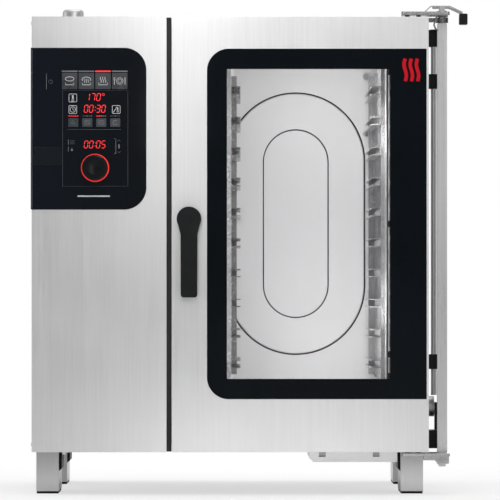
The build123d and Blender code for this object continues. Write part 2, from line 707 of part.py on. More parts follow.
def door_inner_frame():
    """Inner sheet of the door with the pane's recess and the sleeve between the two panes."""
    edge = SHEET + 0.1
    lid = facing(rectangle((DOOR_LEFT + edge, DOOR_RIGHT - edge), (DOOR_BOTTOM + edge, DOOR_TOP - edge)),
                 (DOOR_INSIDE - 2, DOOR_INSIDE))
    recess_back = DOOR_INSIDE - PANE_THICK - 0.5
    recess = rectangle((PANE_LEFT - 2, PANE_RIGHT + 2), (PANE_BOTTOM - 2, PANE_TOP + 2))
    around = rectangle((PANE_LEFT - 3.5, PANE_RIGHT + 3.5), (PANE_BOTTOM - 3.5, PANE_TOP + 3.5))
    sleeve_in = rectangle((TUNNEL_LEFT, TUNNEL_RIGHT), (TUNNEL_BOTTOM, TUNNEL_TOP))
    sleeve_out = rectangle((TUNNEL_LEFT - SHEET, TUNNEL_RIGHT + SHEET),
                           (TUNNEL_BOTTOM - SHEET, TUNNEL_TOP + SHEET))
    frame = lid + facing(around, (recess_back - SHEET, DOOR_INSIDE))
    frame -= facing(recess, (recess_back, DOOR_INSIDE + 1))
    frame += facing(sleeve_out, (FRONT_FACE + GLASS_THICK + 0.2, recess_back - SHEET))
    frame -= facing(sleeve_in, (FRONT_FACE, DOOR_INSIDE))
    return frame - rod_y(SPINDLE_RADIUS + 1, HANDLE_X, (DOOR_INSIDE - 5, DOOR_INSIDE + 1), HANDLE_Z)


def inner_glass():
    """Heat-reflecting inner pane in the door's recess."""
    pane = rectangle((PANE_LEFT, PANE_RIGHT), (PANE_BOTTOM, PANE_TOP), 12)
    return facing(pane, (DOOR_INSIDE - PANE_THICK - 0.2, DOOR_INSIDE - 0.2))


def inner_pane_hinges():
    """Two hinge plates at the right of the inner pane and two turning clips at its left."""
    pieces = []
    for z in (PANE_BOTTOM + 25, PANE_TOP - 25):
        plate = block((PANE_RIGHT - 8, PANE_RIGHT + 18), (DOOR_INSIDE, DOOR_INSIDE + 3), (z - 14, z + 14))
        pieces.append(plate + rod_z(2, PANE_RIGHT + 3, DOOR_INSIDE + 2.2, (z - 18, z + 18)))
        clip = block((PANE_LEFT - 18, PANE_LEFT + 8), (DOOR_INSIDE, DOOR_INSIDE + 3), (z - 7, z + 7))
        pieces.append(fillet(clip.edges().filter_by(Axis.Y), 5))
    return pieces


def channel(z_outer, slot_z):
    """A C channel along the door, slotted on the side that faces its arm."""
    x = (DOOR_LEFT + 13, DOOR_RIGHT - SHEET - 0.5)
    y = (CHANNEL_Y - CHANNEL_WIDTH / 2, CHANNEL_Y + CHANNEL_WIDTH / 2)
    bar = block(x, y, z_outer)
    bar -= block((x[0] - 1, x[1] + 1), (y[0] + CHANNEL_WALL, y[1] - CHANNEL_WALL),
                 (z_outer[0] + CHANNEL_WALL, z_outer[1] - CHANNEL_WALL))
    return bar - block((x[0] - 1, x[1] + 1), (CHANNEL_Y - SLOT_WIDTH / 2, CHANNEL_Y + SLOT_WIDTH / 2), slot_z)


def door_channels():
    """The upper and lower channels that the swing frame's glides run in."""
    top = DOOR_TOP - SHEET - 0.3
    low = DOOR_BOTTOM + SHEET + 0.3
    upper = channel((top - CHANNEL_HEIGHT, top), (top - 5, top + 1))
    lower = channel((low, low + CHANNEL_HEIGHT), (low - 1, low + 5))
    return [upper, lower]


def door_light_strip():
    """Lamp strip on the right wall of the sleeve between the panes."""
    z = (TUNNEL_BOTTOM + 12, TUNNEL_TOP - 12)
    strip = block((TUNNEL_RIGHT - 9, TUNNEL_RIGHT), (FRONT_FACE + 30, FRONT_FACE + 50), z)
    return fillet(strip.edges().filter_by(Axis.Z).group_by(Axis.X)[0], 4)


def door_handle():
    """Lever handle: a round head on a neck, and a grip that hangs down from it."""
    depth = (HANDLE_FRONT, HANDLE_BACK)
    head = rod_y(HANDLE_HEAD, HANDLE_X, depth, HANDLE_Z)
    head = fillet(head.edges().filter_by(GeomType.CIRCLE), 5)
    across = (HANDLE_X - HANDLE_WIDTH / 2, HANDLE_X + HANDLE_WIDTH / 2)
    grip = facing(rectangle(across, (HANDLE_Z - HANDLE_DROP, HANDLE_Z - 12), 8), depth)
    grip = fillet(grip.faces().sort_by(Axis.Y)[0].edges(), 5)
    neck = rod_y(17, HANDLE_X, (HANDLE_BACK - 6, FRONT_FACE - 0.5), HANDLE_Z)
    handle = head + grip + neck
    return handle - rod_y(SPINDLE_RADIUS, HANDLE_X, (HANDLE_FRONT + 12, FRONT_FACE), HANDLE_Z)


def latch_spindle():
    """Spindle through the door with the latch tongue on its inner end."""
    spindle = rod_y(SPINDLE_RADIUS, HANDLE_X, (HANDLE_FRONT + 12, DOOR_INSIDE + 4.2), HANDLE_Z)
    tongue = rectangle((HANDLE_X - 30, HANDLE_X + 10), (HANDLE_Z - 9, HANDLE_Z + 9), 6)
    return spindle + facing(tongue, (DOOR_INSIDE + 0.2, DOOR_INSIDE + 4.2))


def latch_keeper():
    """Keeper plate on the casing that the latch tongue turns in front of."""
    plate = facing(rectangle((HANDLE_X - 36, HANDLE_X - 12), (HANDLE_Z - 22, HANDLE_Z + 22), 4),
                   (-3.5, 0))
    for z in (HANDLE_Z - 15, HANDLE_Z + 15):
        plate -= rod_y(2.2, HANDLE_X - 24, (-4, 0), z)
    return plate


# Swing frame and its brackets


def swing_post():
    """Upright post that turns with the door, with a journal at its upper end."""
    half = POST_SIZE / 2
    post = block((PIVOT_X - half, PIVOT_X + half), (PIVOT_Y - half, PIVOT_Y + half),
                 (LOWER_ARM_TOP, 1048))
    post -= block((PIVOT_X - 4, PIVOT_X + 4), (PIVOT_Y - half - 1, PIVOT_Y - half + 2), (140, 1010))
    return post + rod_z(JOURNAL_RADIUS, PIVOT_X, PIVOT_Y, (1048, UPPER_ARM_Z))


def arm_outline():
    """An arm seen from above: a plate over the door and a tongue round the pivot."""
    over_door = rectangle((ARM_LEFT, ARM_RIGHT), (-72, -12), 6)
    tongue = rectangle((PIVOT_X - 30, ARM_RIGHT), (-40, PIVOT_Y + 12), 6)
    return over_door + tongue


def swing_arms():
    """Upper and lower arms that carry the door's glides, with the lower pivot pin."""
    upper = extrude(Pos(0, 0, UPPER_ARM_Z) * arm_outline(), UPPER_ARM_THICK)
    pad_z = UPPER_ARM_Z + UPPER_ARM_THICK
    upper += block((884, ARM_RIGHT - 1), (PIVOT_Y - 11, PIVOT_Y + 11), (pad_z, pad_z + 4))
    for side in (-LEVER_WIDTH / 2 - 3.5, LEVER_WIDTH / 2 + 0.5):
        upper += block((905, 917), (PIVOT_Y + side, PIVOT_Y + side + 3), (pad_z, LEVER_PIN_Z + 7))
    upper += rod_y(LEVER_PIN, PIVOT_X, (PIVOT_Y - LEVER_WIDTH / 2 - 3, PIVOT_Y + LEVER_WIDTH / 2 + 3),
                   LEVER_PIN_Z)
    lower = extrude(Pos(0, 0, LOWER_ARM_TOP - LOWER_ARM_THICK) * arm_outline(), LOWER_ARM_THICK)
    lower += rod_z(JOURNAL_RADIUS, PIVOT_X, PIVOT_Y, (68, LOWER_ARM_TOP - LOWER_ARM_THICK))
    return [upper, lower]


def door_glides():
    """Four plastic glides: a disc inside the door's channel on a neck from the arm."""
    glides = []
    top = DOOR_TOP - SHEET - 0.3 - CHANNEL_WALL
    low = DOOR_BOTTOM + SHEET + 0.3 + CHANNEL_WALL
    for x in GLIDE_XS:
        upper = rod_z(GLIDE_RADIUS, x, CHANNEL_Y, (top - 11, top - 1))
        glides.append(upper + rod_z(GLIDE_NECK, x, CHANNEL_Y, (top - 1, UPPER_ARM_Z)))
        lower = rod_z(GLIDE_RADIUS, x, CHANNEL_Y, (low + 1, low + 11))
        glides.append(lower + rod_z(GLIDE_NECK, x, CHANNEL_Y, (LOWER_ARM_TOP, low + 1)))
    return glides


def hinge_brackets():
    """Upper and lower pivot bearings, on tabs at the casing's right side."""
    bore = JOURNAL_RADIUS + RUNNING_FIT
    upper = block((CASING_WIDTH, PIVOT_X), (PIVOT_Y - 10, PIVOT_Y + 10), (1050, 1060))
    upper += rod_z(14, PIVOT_X, PIVOT_Y, (1049, 1061))
    upper += block((CASING_WIDTH, CASING_WIDTH + 3), (PIVOT_Y - 10, 62), (1008, 1060))
    upper -= rod_z(bore, PIVOT_X, PIVOT_Y, (1048, 1062))
    lower = block((893, 926), (0, 26), (67, 85))
    corner = lower.edges().filter_by(Axis.Y).group_by(Axis.Z)[0].sort_by(Axis.X)[0]
    lower = chamfer(corner, 8)
    lower += block((870, 893), (3, 42), (74, 84))
    lower += block((CASING_WIDTH, CASING_WIDTH + 3), (30, 95), (74, 222))
    lower -= block((896, 923), (-1, 3), (75, 77.5))
    lower -= rod_z(bore, PIVOT_X, PIVOT_Y, (67.5, 86))
    return [upper, lower]


def guide_rod():
    """Upright rod beside the casing that the stowed door is guided along."""
    return rod_z(ROD_RADIUS, ROD_X, ROD_Y, ROD_Z)


def rod_clamps():
    """Plastic blocks that hold the guide rod, and the carrier with both bearings of the side roller."""
    blocks = []
    for left, low, high in CLAMPS:
        clamp = block((left, CLAMP_RIGHT), CLAMP_Y, (low, high))
        clamp = fillet(clamp.edges().filter_by(Axis.Z).group_by(Axis.X)[-1], 5)
        blocks.append(clamp - rod_z(ROD_RADIUS, ROD_X, ROD_Y, (low - 1, high + 1)))
    carrier = block((CASING_WIDTH + 3, CLAMP_RIGHT), (ROD_Y - 8, ROD_Y + 60), (100, 141))
    carrier += block((CASING_WIDTH + 3, CASING_WIDTH + 5), (ROD_Y - 8, ROD_Y + 60), (141, 222))
    carrier += block((ROLLER_X[1] + 1, CLAMP_RIGHT), (ROLLER_Y - 9, ROLLER_Y + 9), (141, ROLLER_Z + 9))
    carrier += rod_x(ROLLER_AXLE, (CASING_WIDTH + 3, CLAMP_RIGHT), ROLLER_Y, ROLLER_Z)
    blocks.append(carrier)
    return blocks


def side_roller():
    """Crowned roller that turns on the carrier's axle."""
    middle = (ROLLER_X[0] + ROLLER_X[1]) / 2
    roller = rod_x(ROLLER_RADIUS, ROLLER_X, ROLLER_Y, ROLLER_Z)
    roller = fillet(roller.edges().filter_by(GeomType.CIRCLE), 2)
    groove = rod_x(ROLLER_RADIUS + 1, (middle - 2, middle + 2), ROLLER_Y, ROLLER_Z)
    groove -= rod_x(ROLLER_RADIUS - 3, (middle - 2, middle + 2), ROLLER_Y, ROLLER_Z)
    roller -= groove
    return roller - rod_x(ROLLER_AXLE + RUNNING_FIT, (ROLLER_X[0] - 1, ROLLER_X[1] + 1), ROLLER_Y, ROLLER_Z)


def release_lever():
    """Bent strip that tips about a pin between the upper arm's ears."""
    crest = LEVER_LOW + LEVER_RISE
    side = Polyline((874, LEVER_LOW), (886, crest), (928, crest), (956, LEVER_LOW - 2),
                    (956, LEVER_LOW - 22))
    strip = make_face(offset(side, LEVER_STRIP / 2, side=Side.BOTH))
    lever = extrude(Plane.XZ.offset(-(PIVOT_Y + LEVER_WIDTH / 2)) * strip, LEVER_WIDTH)
    across = (PIVOT_Y - LEVER_WIDTH / 2, PIVOT_Y + LEVER_WIDTH / 2)
    lever += rod_y(LEVER_HUB, PIVOT_X, across, LEVER_PIN_Z)
    return lever - rod_y(LEVER_PIN + RUNNING_FIT, PIVOT_X, across, LEVER_PIN_Z)


def release_grip():
    """Plastic grip over the lever's hanging end."""
    grip = block((949, LEVER_RIGHT), (PIVOT_Y - 12, PIVOT_Y + 12), (LEVER_LOW - 30, LEVER_LOW - 5))
    grip = fillet(grip.edges(), 3)
    return grip - release_lever()


# Control panel


def key_places():
    """Name, centre and size of every push key."""
    places = []
    for index, name in enumerate(MODE_KEYS):
        places.append((name, MODE_KEY_X + MODE_KEY_PITCH * index, MODE_KEY_Z, MODE_KEY_SIZE))
    for index, name in enumerate(FUNCTION_KEYS):
        x = FUNCTION_KEY_X + FUNCTION_KEY_PITCH * index
        places.append((name, x, FUNCTION_KEY_Z, FUNCTION_KEY_SIZE))
    for name, (x, z) in SETTING_KEYS.items():
        places.append((name, x, z, SETTING_KEY_SIZE))
    return places


def push_key(x, z, size):
    """A flat key cap with a flange behind the bezel that keeps it in."""
    width, height = size
    cap = facing(Pos(x, z) * RectangleRounded(width - 2 * GAP, height - 2 * GAP, 1.5),
                 (KEY_FACE, FRONT_FACE + 1.2))
    flange = facing(Pos(x, z) * Rectangle(width + 1.5, height + 1.5),
                    (FRONT_FACE + 0.4, KEY_BACK))
    return cap + flange


def control_bezel():
    """Black glass fascia that wraps the housing's left edge, open for keys, dial and flap."""
    outline = rectangle((0, BEZEL_RIGHT), (BEZEL_BOTTOM, BEZEL_TOP), BEZEL_CORNER)
    outline += rectangle((BEZEL_LEFT, BEZEL_RIGHT / 2), (BEZEL_BOTTOM, BEZEL_TOP))
    bezel = facing(outline, (BEZEL_FACE, FRONT_FACE))
    bezel += block((BEZEL_LEFT, 0), (FRONT_FACE, FRONT_FACE + 24), (BEZEL_BOTTOM, BEZEL_TOP))
    for _, x, z, (width, height) in key_places():
        bezel -= facing(Pos(x, z) * RectangleRounded(width, height, 1.5), (BEZEL_FACE - 1, FRONT_FACE + 1))
    bezel -= rod_y(DIAL_RING, DIAL_X, (BEZEL_FACE - 1, FRONT_FACE + 1), DIAL_Z)
    flap = rectangle((FLAP_X[0] - GAP, FLAP_X[1] + GAP), (FLAP_Z[0] - GAP, FLAP_Z[1] + GAP))
    return bezel - facing(flap, (BEZEL_FACE - 1, FRONT_FACE + 1))


def dial_light_ring():
    """Light guide round the dial, with a web that carries the dial's shaft."""
    ring = rod_y(DIAL_RING, DIAL_X, (BEZEL_FACE - 0.8, FRONT_FACE), DIAL_Z)
    ring -= rod_y(DIAL_RING - 3, DIAL_X, (BEZEL_FACE - 1, BEZEL_FACE + 1), DIAL_Z)
    return ring - rod_y(DIAL_SHAFT + 1, DIAL_X, (BEZEL_FACE - 1, FRONT_FACE + 1), DIAL_Z)


def dial_shaft():
    """Plunger that the dial turns on and that is pushed to confirm a value."""
    shaft = rod_y(DIAL_SHAFT, DIAL_X, (DIAL_FACE + 5, FRONT_FACE + 8), DIAL_Z)
    return shaft + rod_y(5.5, DIAL_X, (FRONT_FACE + 2, FRONT_FACE + 3.5), DIAL_Z)


def dial_knob():
    """Rotary knob with a rounded rim and a dished face."""
    knob = rod_y(DIAL_RADIUS, DIAL_X, (DIAL_FACE, DIAL_BACK), DIAL_Z)
    knob = fillet(knob.faces().sort_by(Axis.Y)[0].edges(), 4)
    knob -= Pos(DIAL_X, DIAL_FACE - DISH_RADIUS + DISH_DEPTH, DIAL_Z) * Sphere(DISH_RADIUS)
    return knob - rod_y(DIAL_SHAFT + RUNNING_FIT, DIAL_X, (DIAL_FACE + 4.95, DIAL_BACK + 1), DIAL_Z)


def usb_flap():
    """Cover of the data socket, with a finger groove, hinged about its round left edge."""
    front = KEY_FACE - 0.1
    hinge = FLAP_THICK / 2
    flap = block((FLAP_X[0] + hinge, FLAP_X[1]), (front, front + FLAP_THICK), FLAP_Z)
    flap += rod_z(hinge, FLAP_X[0] + hinge, front + hinge, FLAP_Z)
    return flap - block((33, 34), (front, front + 0.5), FLAP_Z)


def control_board():
    """Circuit board behind the bezel with switches, displays, encoder and data socket."""
    board = facing(rectangle((12, 240), (645, 975), 8), (FRONT_FACE + 16, FRONT_FACE + 18))
    switch_y = (FRONT_FACE + 5, FRONT_FACE + 16)
    for _, x, z, _ in key_places():
        board += block((x - 4, x + 4), switch_y, (z - 4, z + 4))
    for z in (867, 842, 757):
        board += block((112, 170), switch_y, (z, z + 20))
    board += block((40, 56), (FRONT_FACE + 2, FRONT_FACE + 16), (743, 757))
    board += rod_y(10, DIAL_X, (FRONT_FACE + 6, FRONT_FACE + 16), DIAL_Z)
    board -= rod_y(DIAL_SHAFT + RUNNING_FIT, DIAL_X, (FRONT_FACE + 5, FRONT_FACE + 12), DIAL_Z)
    power = block((40, 250), (CASING_REAR - 90, CASING_REAR - 88), (720, 1000))
    for step in range(4):
        x = 60 + 46 * step
        power += block((x, x + 30), (CASING_REAR - 128, CASING_REAR - 90), (760, 820))
        power += block((x, x + 30), (CASING_REAR - 122, CASING_REAR - 90), (880, 950))
    return [board, power]


PARTS = {
    "base_frame": base_frame,
    "left_side_panel": left_side_panel,
    "right_side_panel": right_side_panel,
    "rear_panel": rear_panel,
    "top_cover": top_cover,
    "control_front_panel": control_front_panel,
    "front_frame": front_frame,
    "cavity_liner": cavity_liner,
    "cavity_insulation": cavity_insulation,
    "door_seals": door_seals,
    "suction_panel": suction_panel,
    "left_rack": left_rack,
    "right_rack": right_rack,
    "fan_wheel": fan_wheel,
    "fan_motor": fan_motor,
    "heating_element": heating_element,
    "steam_generator": steam_generator,
    "drain_pipe": drain_pipe,
    "water_inlets": water_inlets,
    "vent_dome": vent_dome,
    "legs": legs,
    "leg_feet": leg_feet,
    "leg_bolts": leg_bolts,
    "drip_tray": drip_tray,
    "door_outer_shell": door_outer_shell,
    "door_glass": door_glass,
    "door_inner_frame": door_inner_frame,
    "inner_glass": inner_glass,
    "inner_pane_hinges": inner_pane_hinges,
    "door_channels": door_channels,
    "door_light_strip": door_light_strip,
    "door_handle": door_handle,
    "latch_spindle": latch_spindle,
    "latch_keeper": latch_keeper,
    "swing_post": swing_post,
    "swing_arms": swing_arms,
    "door_glides": door_glides,
    "hinge_brackets": hinge_brackets,
    "guide_rod": guide_rod,
    "rod_clamps": rod_clamps,
    "side_roller": side_roller,
    "release_lever": release_lever,
    "release_grip": release_grip,
    "control_bezel": control_bezel,
    "dial_light_ring": dial_light_ring,
    "dial_shaft": dial_shaft,
    "dial_knob": dial_knob,
    "usb_flap": usb_flap,
    "control_board": control_board,
}


def save(name, shape):
    """Writes one node, moved from casing coordinates to the row's origin."""
    solids = shape if isinstance(shape, list) else [shape]
    placed = [Pos(-ORIGIN_X, -ORIGIN_Y, 0) * solid for solid in solids]
    node = placed[0] if len(placed) == 1 else Compound(children=placed)
    export_step(node, f"parts/{name}.step")


def main():
    os.makedirs("parts", exist_ok=True)
    for name, make in PARTS.items():
        save(name, make())
    for name, x, z, size in key_places():
        save(name, push_key(x, z, size))


main()
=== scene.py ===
import math
import random

import bmesh
import bpy
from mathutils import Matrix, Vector


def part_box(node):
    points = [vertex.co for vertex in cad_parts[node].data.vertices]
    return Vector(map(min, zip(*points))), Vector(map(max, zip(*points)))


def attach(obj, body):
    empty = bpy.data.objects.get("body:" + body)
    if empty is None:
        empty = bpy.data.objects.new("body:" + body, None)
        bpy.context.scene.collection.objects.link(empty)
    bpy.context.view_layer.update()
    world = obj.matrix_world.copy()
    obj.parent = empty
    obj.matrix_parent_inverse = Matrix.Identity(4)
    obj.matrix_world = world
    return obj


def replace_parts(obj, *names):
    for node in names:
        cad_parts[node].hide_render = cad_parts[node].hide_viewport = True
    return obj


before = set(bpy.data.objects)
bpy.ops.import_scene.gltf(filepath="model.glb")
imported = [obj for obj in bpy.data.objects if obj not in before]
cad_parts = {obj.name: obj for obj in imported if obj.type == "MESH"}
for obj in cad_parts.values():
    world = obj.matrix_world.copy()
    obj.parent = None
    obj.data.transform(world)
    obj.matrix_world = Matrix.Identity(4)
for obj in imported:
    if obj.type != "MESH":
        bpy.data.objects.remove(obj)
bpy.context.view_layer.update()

# Sizes, profiles and drawn shapes are in millimetres. Points in the row frame are in metres.
MM = 0.001
HAIR = 0.12 * MM               # how far a printed mark stands off its surface
EDGE_ANGLE = math.radians(35)  # sharper edges than this are kept sharp, or eased
LOOM_SEED = 11
WHITE = (1, 1, 1, 1)
LEFT, RIGHT = (-1, 0, 0), (1, 0, 0)
FRONT, BACK = (0, -1, 0), (0, 1, 0)
DOWN, UP = (0, 0, -1), (0, 0, 1)

# ---------------- places

CASING_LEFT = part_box("top_cover")[0].x
CASING_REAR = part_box("rear_panel")[1].y
FRONT_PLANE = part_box("front_frame")[0].y      # the cavity's front plane
DOOR_LOW, DOOR_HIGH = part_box("door_outer_shell")
GLASS_LOW, GLASS_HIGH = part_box("door_glass")
BEZEL_LOW, BEZEL_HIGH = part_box("control_bezel")
LINER_LOW, LINER_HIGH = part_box("cavity_liner")
DIAL_LOW, DIAL_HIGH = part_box("dial_knob")

# Casing millimetres, as in the CAD
CASING_WIDTH, CASING_DEPTH, CASING_TOP = 875, 709, 1058
HOUSING_RIGHT = 298            # seam between the control housing and the oven
CAVITY_FLOOR = 232
CAVITY_REAR, EMBOSS_DEPTH = 600, 4
EMBOSS_X, EMBOSS_Z = 592, 610  # middle of the pressed stadium shapes on the rear wall
EMBOSS_OUTER, EMBOSS_INNER = (321, 612), (148.5, 438)
TRAY_LEFT, TRAY_RIGHT = 441, 774.5
RAIL_FIRST, RAIL_PITCH, RAIL_COUNT = 288, 68, 10
PIVOT_X, PIVOT_Y = 911, 13     # the swing post's axis
VENT_X, VENT_Y = 82.5, 185
SCREW_LOW, SCREW_HIGH = 112, 1044
WINDOW_X, WINDOW_Z = (431.6, 792), (257, 942)


def at(x, y, z):
    """A point from casing millimetres: x from the casing's left, y from the cavity's front plane, z up."""
    return Vector((CASING_LEFT + x * MM, FRONT_PLANE + y * MM, z * MM))


def x_at(x):
    return at(x, 0, 0).x


def y_at(y):
    return at(0, y, 0).y


# ---------------- outlines, in any unit


def arc(x, z, radius_x, radius_z, start, end, steps=16):
    """Points along an ellipse between two angles in degrees, counter-clockwise."""
    points = []
    for step in range(steps + 1):
        angle = math.radians(start + (end - start) * step / steps)
        points.append((x + radius_x * math.cos(angle), z + radius_z * math.sin(angle)))
    return points


def circle(x, z, radius, steps=48):
    return arc(x, z, radius, radius, 0, 360, steps)[:-1]


def square(x, z):
    """The outline of a rectangle from its left and right and its lower and upper side."""
    return [(x[0], z[0]), (x[1], z[0]), (x[1], z[1]), (x[0], z[1])]


def rounded(x, z, radius, steps=6):
    """The outline of a rectangle with round corners, counter-clockwise from its right side."""
    left, right, low, high = x[0] + radius, x[1] - radius, z[0] + radius, z[1] - radius
    corners = ((right, high), (left, high), (left, low), (right, low))
    return [point for turn, corner in enumerate(corners)
            for point in arc(*corner, radius, radius, 90 * turn, 90 * turn + 90, steps)]


def wave(x, low, high, swing, steps=14):
    """Points of an upright wavy line."""
    return [(x + swing * math.sin(2 * math.pi * s / steps), low + (high - low) * s / steps)
            for s in range(steps + 1)]


def placed(outline, x=CASING_LEFT, z=0):
    """An outline in millimetres, moved to a point of the row frame, by default the casing's lower left."""
    return [(x + a * MM, z + b * MM) for a, b in outline]


# ---------------- mesh tools


def meshes(count):
    return [bmesh.new() for _ in range(count)]


def turn_to(axis):
    """The rotation that takes +Z to an axis."""
    return Vector(UP).rotation_difference(Vector(axis)).to_matrix()


def join_rings(bm, first, second):
    """Faces between two rings of the same length, or between a ring and a point."""
    count = max(len(first), len(second))
    for step in range(count):
        after = (step + 1) % count
        corners = [first[step % len(first)], first[after % len(first)],
                   second[after % len(second)], second[step % len(second)]]
        unique = list(dict.fromkeys(corners))
        if len(unique) > 2:
            bm.faces.new(unique)


def add_skin(bm, rings):
    """A closed skin through rings of points. A ring of one point is a tip."""
    rings = [[bm.verts.new(point) for point in ring] for ring in rings]
    for first, second in zip(rings, rings[1:]):
        join_rings(bm, first, second)
    for ring in (rings[0], rings[-1]):
        if len(ring) > 1:
            bm.faces.new(ring)


def add_lathe(bm, profile, origin, axis=UP, steps=32):
    """A turned shape: profile is (radius, height) pairs along the axis from the origin."""
    turn = turn_to(axis)
    rings = []
    for radius, height in profile:
        ring = circle(0, 0, radius, steps) if radius else [(0, 0)]
        rings.append([Vector(origin) + turn @ (Vector((a, b, height)) * MM) for a, b in ring])
    add_skin(bm, rings)


def add_tube(bm, points, radius, steps=12):
    """A round bar or hose through the points, closed at both ends."""
    points = [Vector(p) for p in points]
    direction = (points[1] - points[0]).normalized()
    side = direction.orthogonal().normalized()
    rings = []
    for index, point in enumerate(points):
        before = points[max(index - 1, 0)]
        after = points[min(index + 1, len(points) - 1)]
        new_direction = (after - before).normalized()
        side = (direction.rotation_difference(new_direction) @ side).normalized()
        direction = new_direction
        other = direction.cross(side)
        rings.append([point + a * MM * side + b * MM * other for a, b in circle(0, 0, radius, steps)])
    add_skin(bm, rings)


def add_plate(bm, outline, y_front, y_back):
    """A flat plate facing the front: outline is (x, z) pairs in the row frame."""
    add_skin(bm, [[(x, y, z) for x, z in outline] for y in (y_front, y_back)])


def add_ring_plate(bm, outer, inner, y_front, y_back):
    """A frame facing the front, between two outlines with the same number of points."""
    rings = [[bm.verts.new((x, y, z)) for x, z in outline]
             for outline, y in ((outer, y_front), (outer, y_back), (inner, y_back), (inner, y_front))]
    for index, ring in enumerate(rings):
        join_rings(bm, rings[index - 1], ring)


def add_stroke(bm, points, width, y, closed=False):
    """A printed line of even width along (x, z) points, lying on a face that looks to the front."""
    points = [Vector(p) for p in points]
    count = len(points)
    left, right = [], []
    for index, point in enumerate(points):
        before = points[index - 1] if closed or index else point
        after = points[(index + 1) % count] if closed or index < count - 1 else point
        along = (after - before).normalized()
        across = Vector((-along.y, along.x)) * (width * MM / 2)
        left.append(point + across)
        right.append(point - across)
    for index in range(count if closed else count - 1):
        after = (index + 1) % count
        add_plate(bm, (left[index], left[after], right[after], right[index]), y - HAIR, y)


def line(points, width):
    """A drawn shape: an open line."""
    return points, width, False


def loop(points, width):
    """A drawn shape: a closed line."""
    return points, width, True


def fill(points):
    """A drawn shape: a filled outline."""
    return points, 0, True


def draw(bm, shapes, x, z, y):
    """Prints shapes, in millimetres from x and z, on a face that looks to the front."""
    for points, width, closed in shapes:
        points = placed(points, x, z)
        if width:
            add_stroke(bm, points, width, y, closed)
        else:
            add_plate(bm, points, y - HAIR, y)


def draw_on_panel(bm, shapes, u=0, v=0):
    """Prints shapes from a point right of the bezel's left edge and below its top."""
    draw(bm, shapes, BEZEL_LOW.x + u * MM, BEZEL_HIGH.z - v * MM, BEZEL_LOW.y)


def add_screw(bm, place, axis, radius):
    """A pan head with a raised cross."""
    add_lathe(bm, [(radius, 0), (radius, radius * 0.35), (radius * 0.72, radius * 0.6), (0, radius * 0.62)],
              place, axis, 20)
    turn = turn_to(axis)
    for wide, deep in ((0.12, 0.5), (0.5, 0.12)):
        add_skin(bm, [[Vector(place) + turn @ (Vector((a, b, height)) * radius * MM)
                       for a, b in square((-wide, wide), (-deep, deep))] for height in (0.57, 0.67)])


def add_screws(bm, axis, places):
    """Casing screws at points in casing millimetres."""
    for place in places:
        add_screw(bm, at(*place), axis, 4)


def add_hex(bm, place, axis, across, height, ring=0):
    """A hexagon nut or bolt head, with a washer under it if a radius is given."""
    if ring:
        add_lathe(bm, [(ring, 0), (ring, 1.6), (0, 1.6)], place, axis, 28)
    add_lathe(bm, [(across / 1.732, 0), (across / 1.732, height * 0.85), (across / 2.1, height), (0, height)],
              place, axis, 6)


def link_object(name, data):
    obj = bpy.data.objects.new(name, data)
    bpy.context.scene.collection.objects.link(obj)
    return obj


def piece(name, bm, body, material, bevel=0):
    """Makes the mesh a named piece that rides on a body, with its edges eased if a width is given."""
    bmesh.ops.recalc_face_normals(bm, faces=bm.faces)
    mesh = bpy.data.meshes.new(name)
    bm.to_mesh(mesh)
    bm.free()
    obj = link_object(name, mesh)
    mesh.materials.append(material)
    for polygon in mesh.polygons:
        polygon.use_smooth = True
    mesh.set_sharp_from_angle(angle=EDGE_ANGLE)
    if bevel:
        ease = obj.modifiers.new("ease", "BEVEL")
        ease.width = bevel * MM
        ease.segments = 3
        ease.limit_method = "ANGLE"
        ease.angle_limit = EDGE_ANGLE
        ease.harden_normals = True
    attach(obj, body)
    return obj


# ---------------- materials


class Nodes:
    """A node tree being built."""

    def __init__(self, tree):
        self.tree = tree
        tree.nodes.clear()

    def put(self, target, value):
        """Sets an input, or links it if the value is another node's output."""
        if isinstance(value, bpy.types.NodeSocket):
            self.tree.links.new(value, target)
        else:
            target.default_value = value

    def add(self, kind, inputs=None, **settings):
        node = self.tree.nodes.new(kind)
        for key, value in settings.items():
            setattr(node, key, value)
        for key, value in (inputs or {}).items():
            self.put(node.inputs[key], value)
        return node

    def math(self, operation, first, second=0.0):
        return self.add("ShaderNodeMath", {0: first, 1: second}, operation=operation).outputs[0]

    def ramp(self, value, low, high, to_low=0.0, to_high=1.0):
        """Maps a value's range to another, clamped."""
        return self.add("ShaderNodeMapRange", {"Value": value, "From Min": low, "From Max": high,
                                               "To Min": to_low, "To Max": to_high}).outputs[0]

    def mix(self, share, first, second, blend="MIX"):
        """A colour between two colours."""
        return self.add("ShaderNodeMix", {"Factor": share, 6: first, 7: second}, data_type="RGBA",
                        blend_type=blend).outputs[2]

    def choose(self, share, first, second):
        """A shader between two shaders."""
        return self.add("ShaderNodeMixShader", {0: share, 1: first, 2: second}).outputs[0]


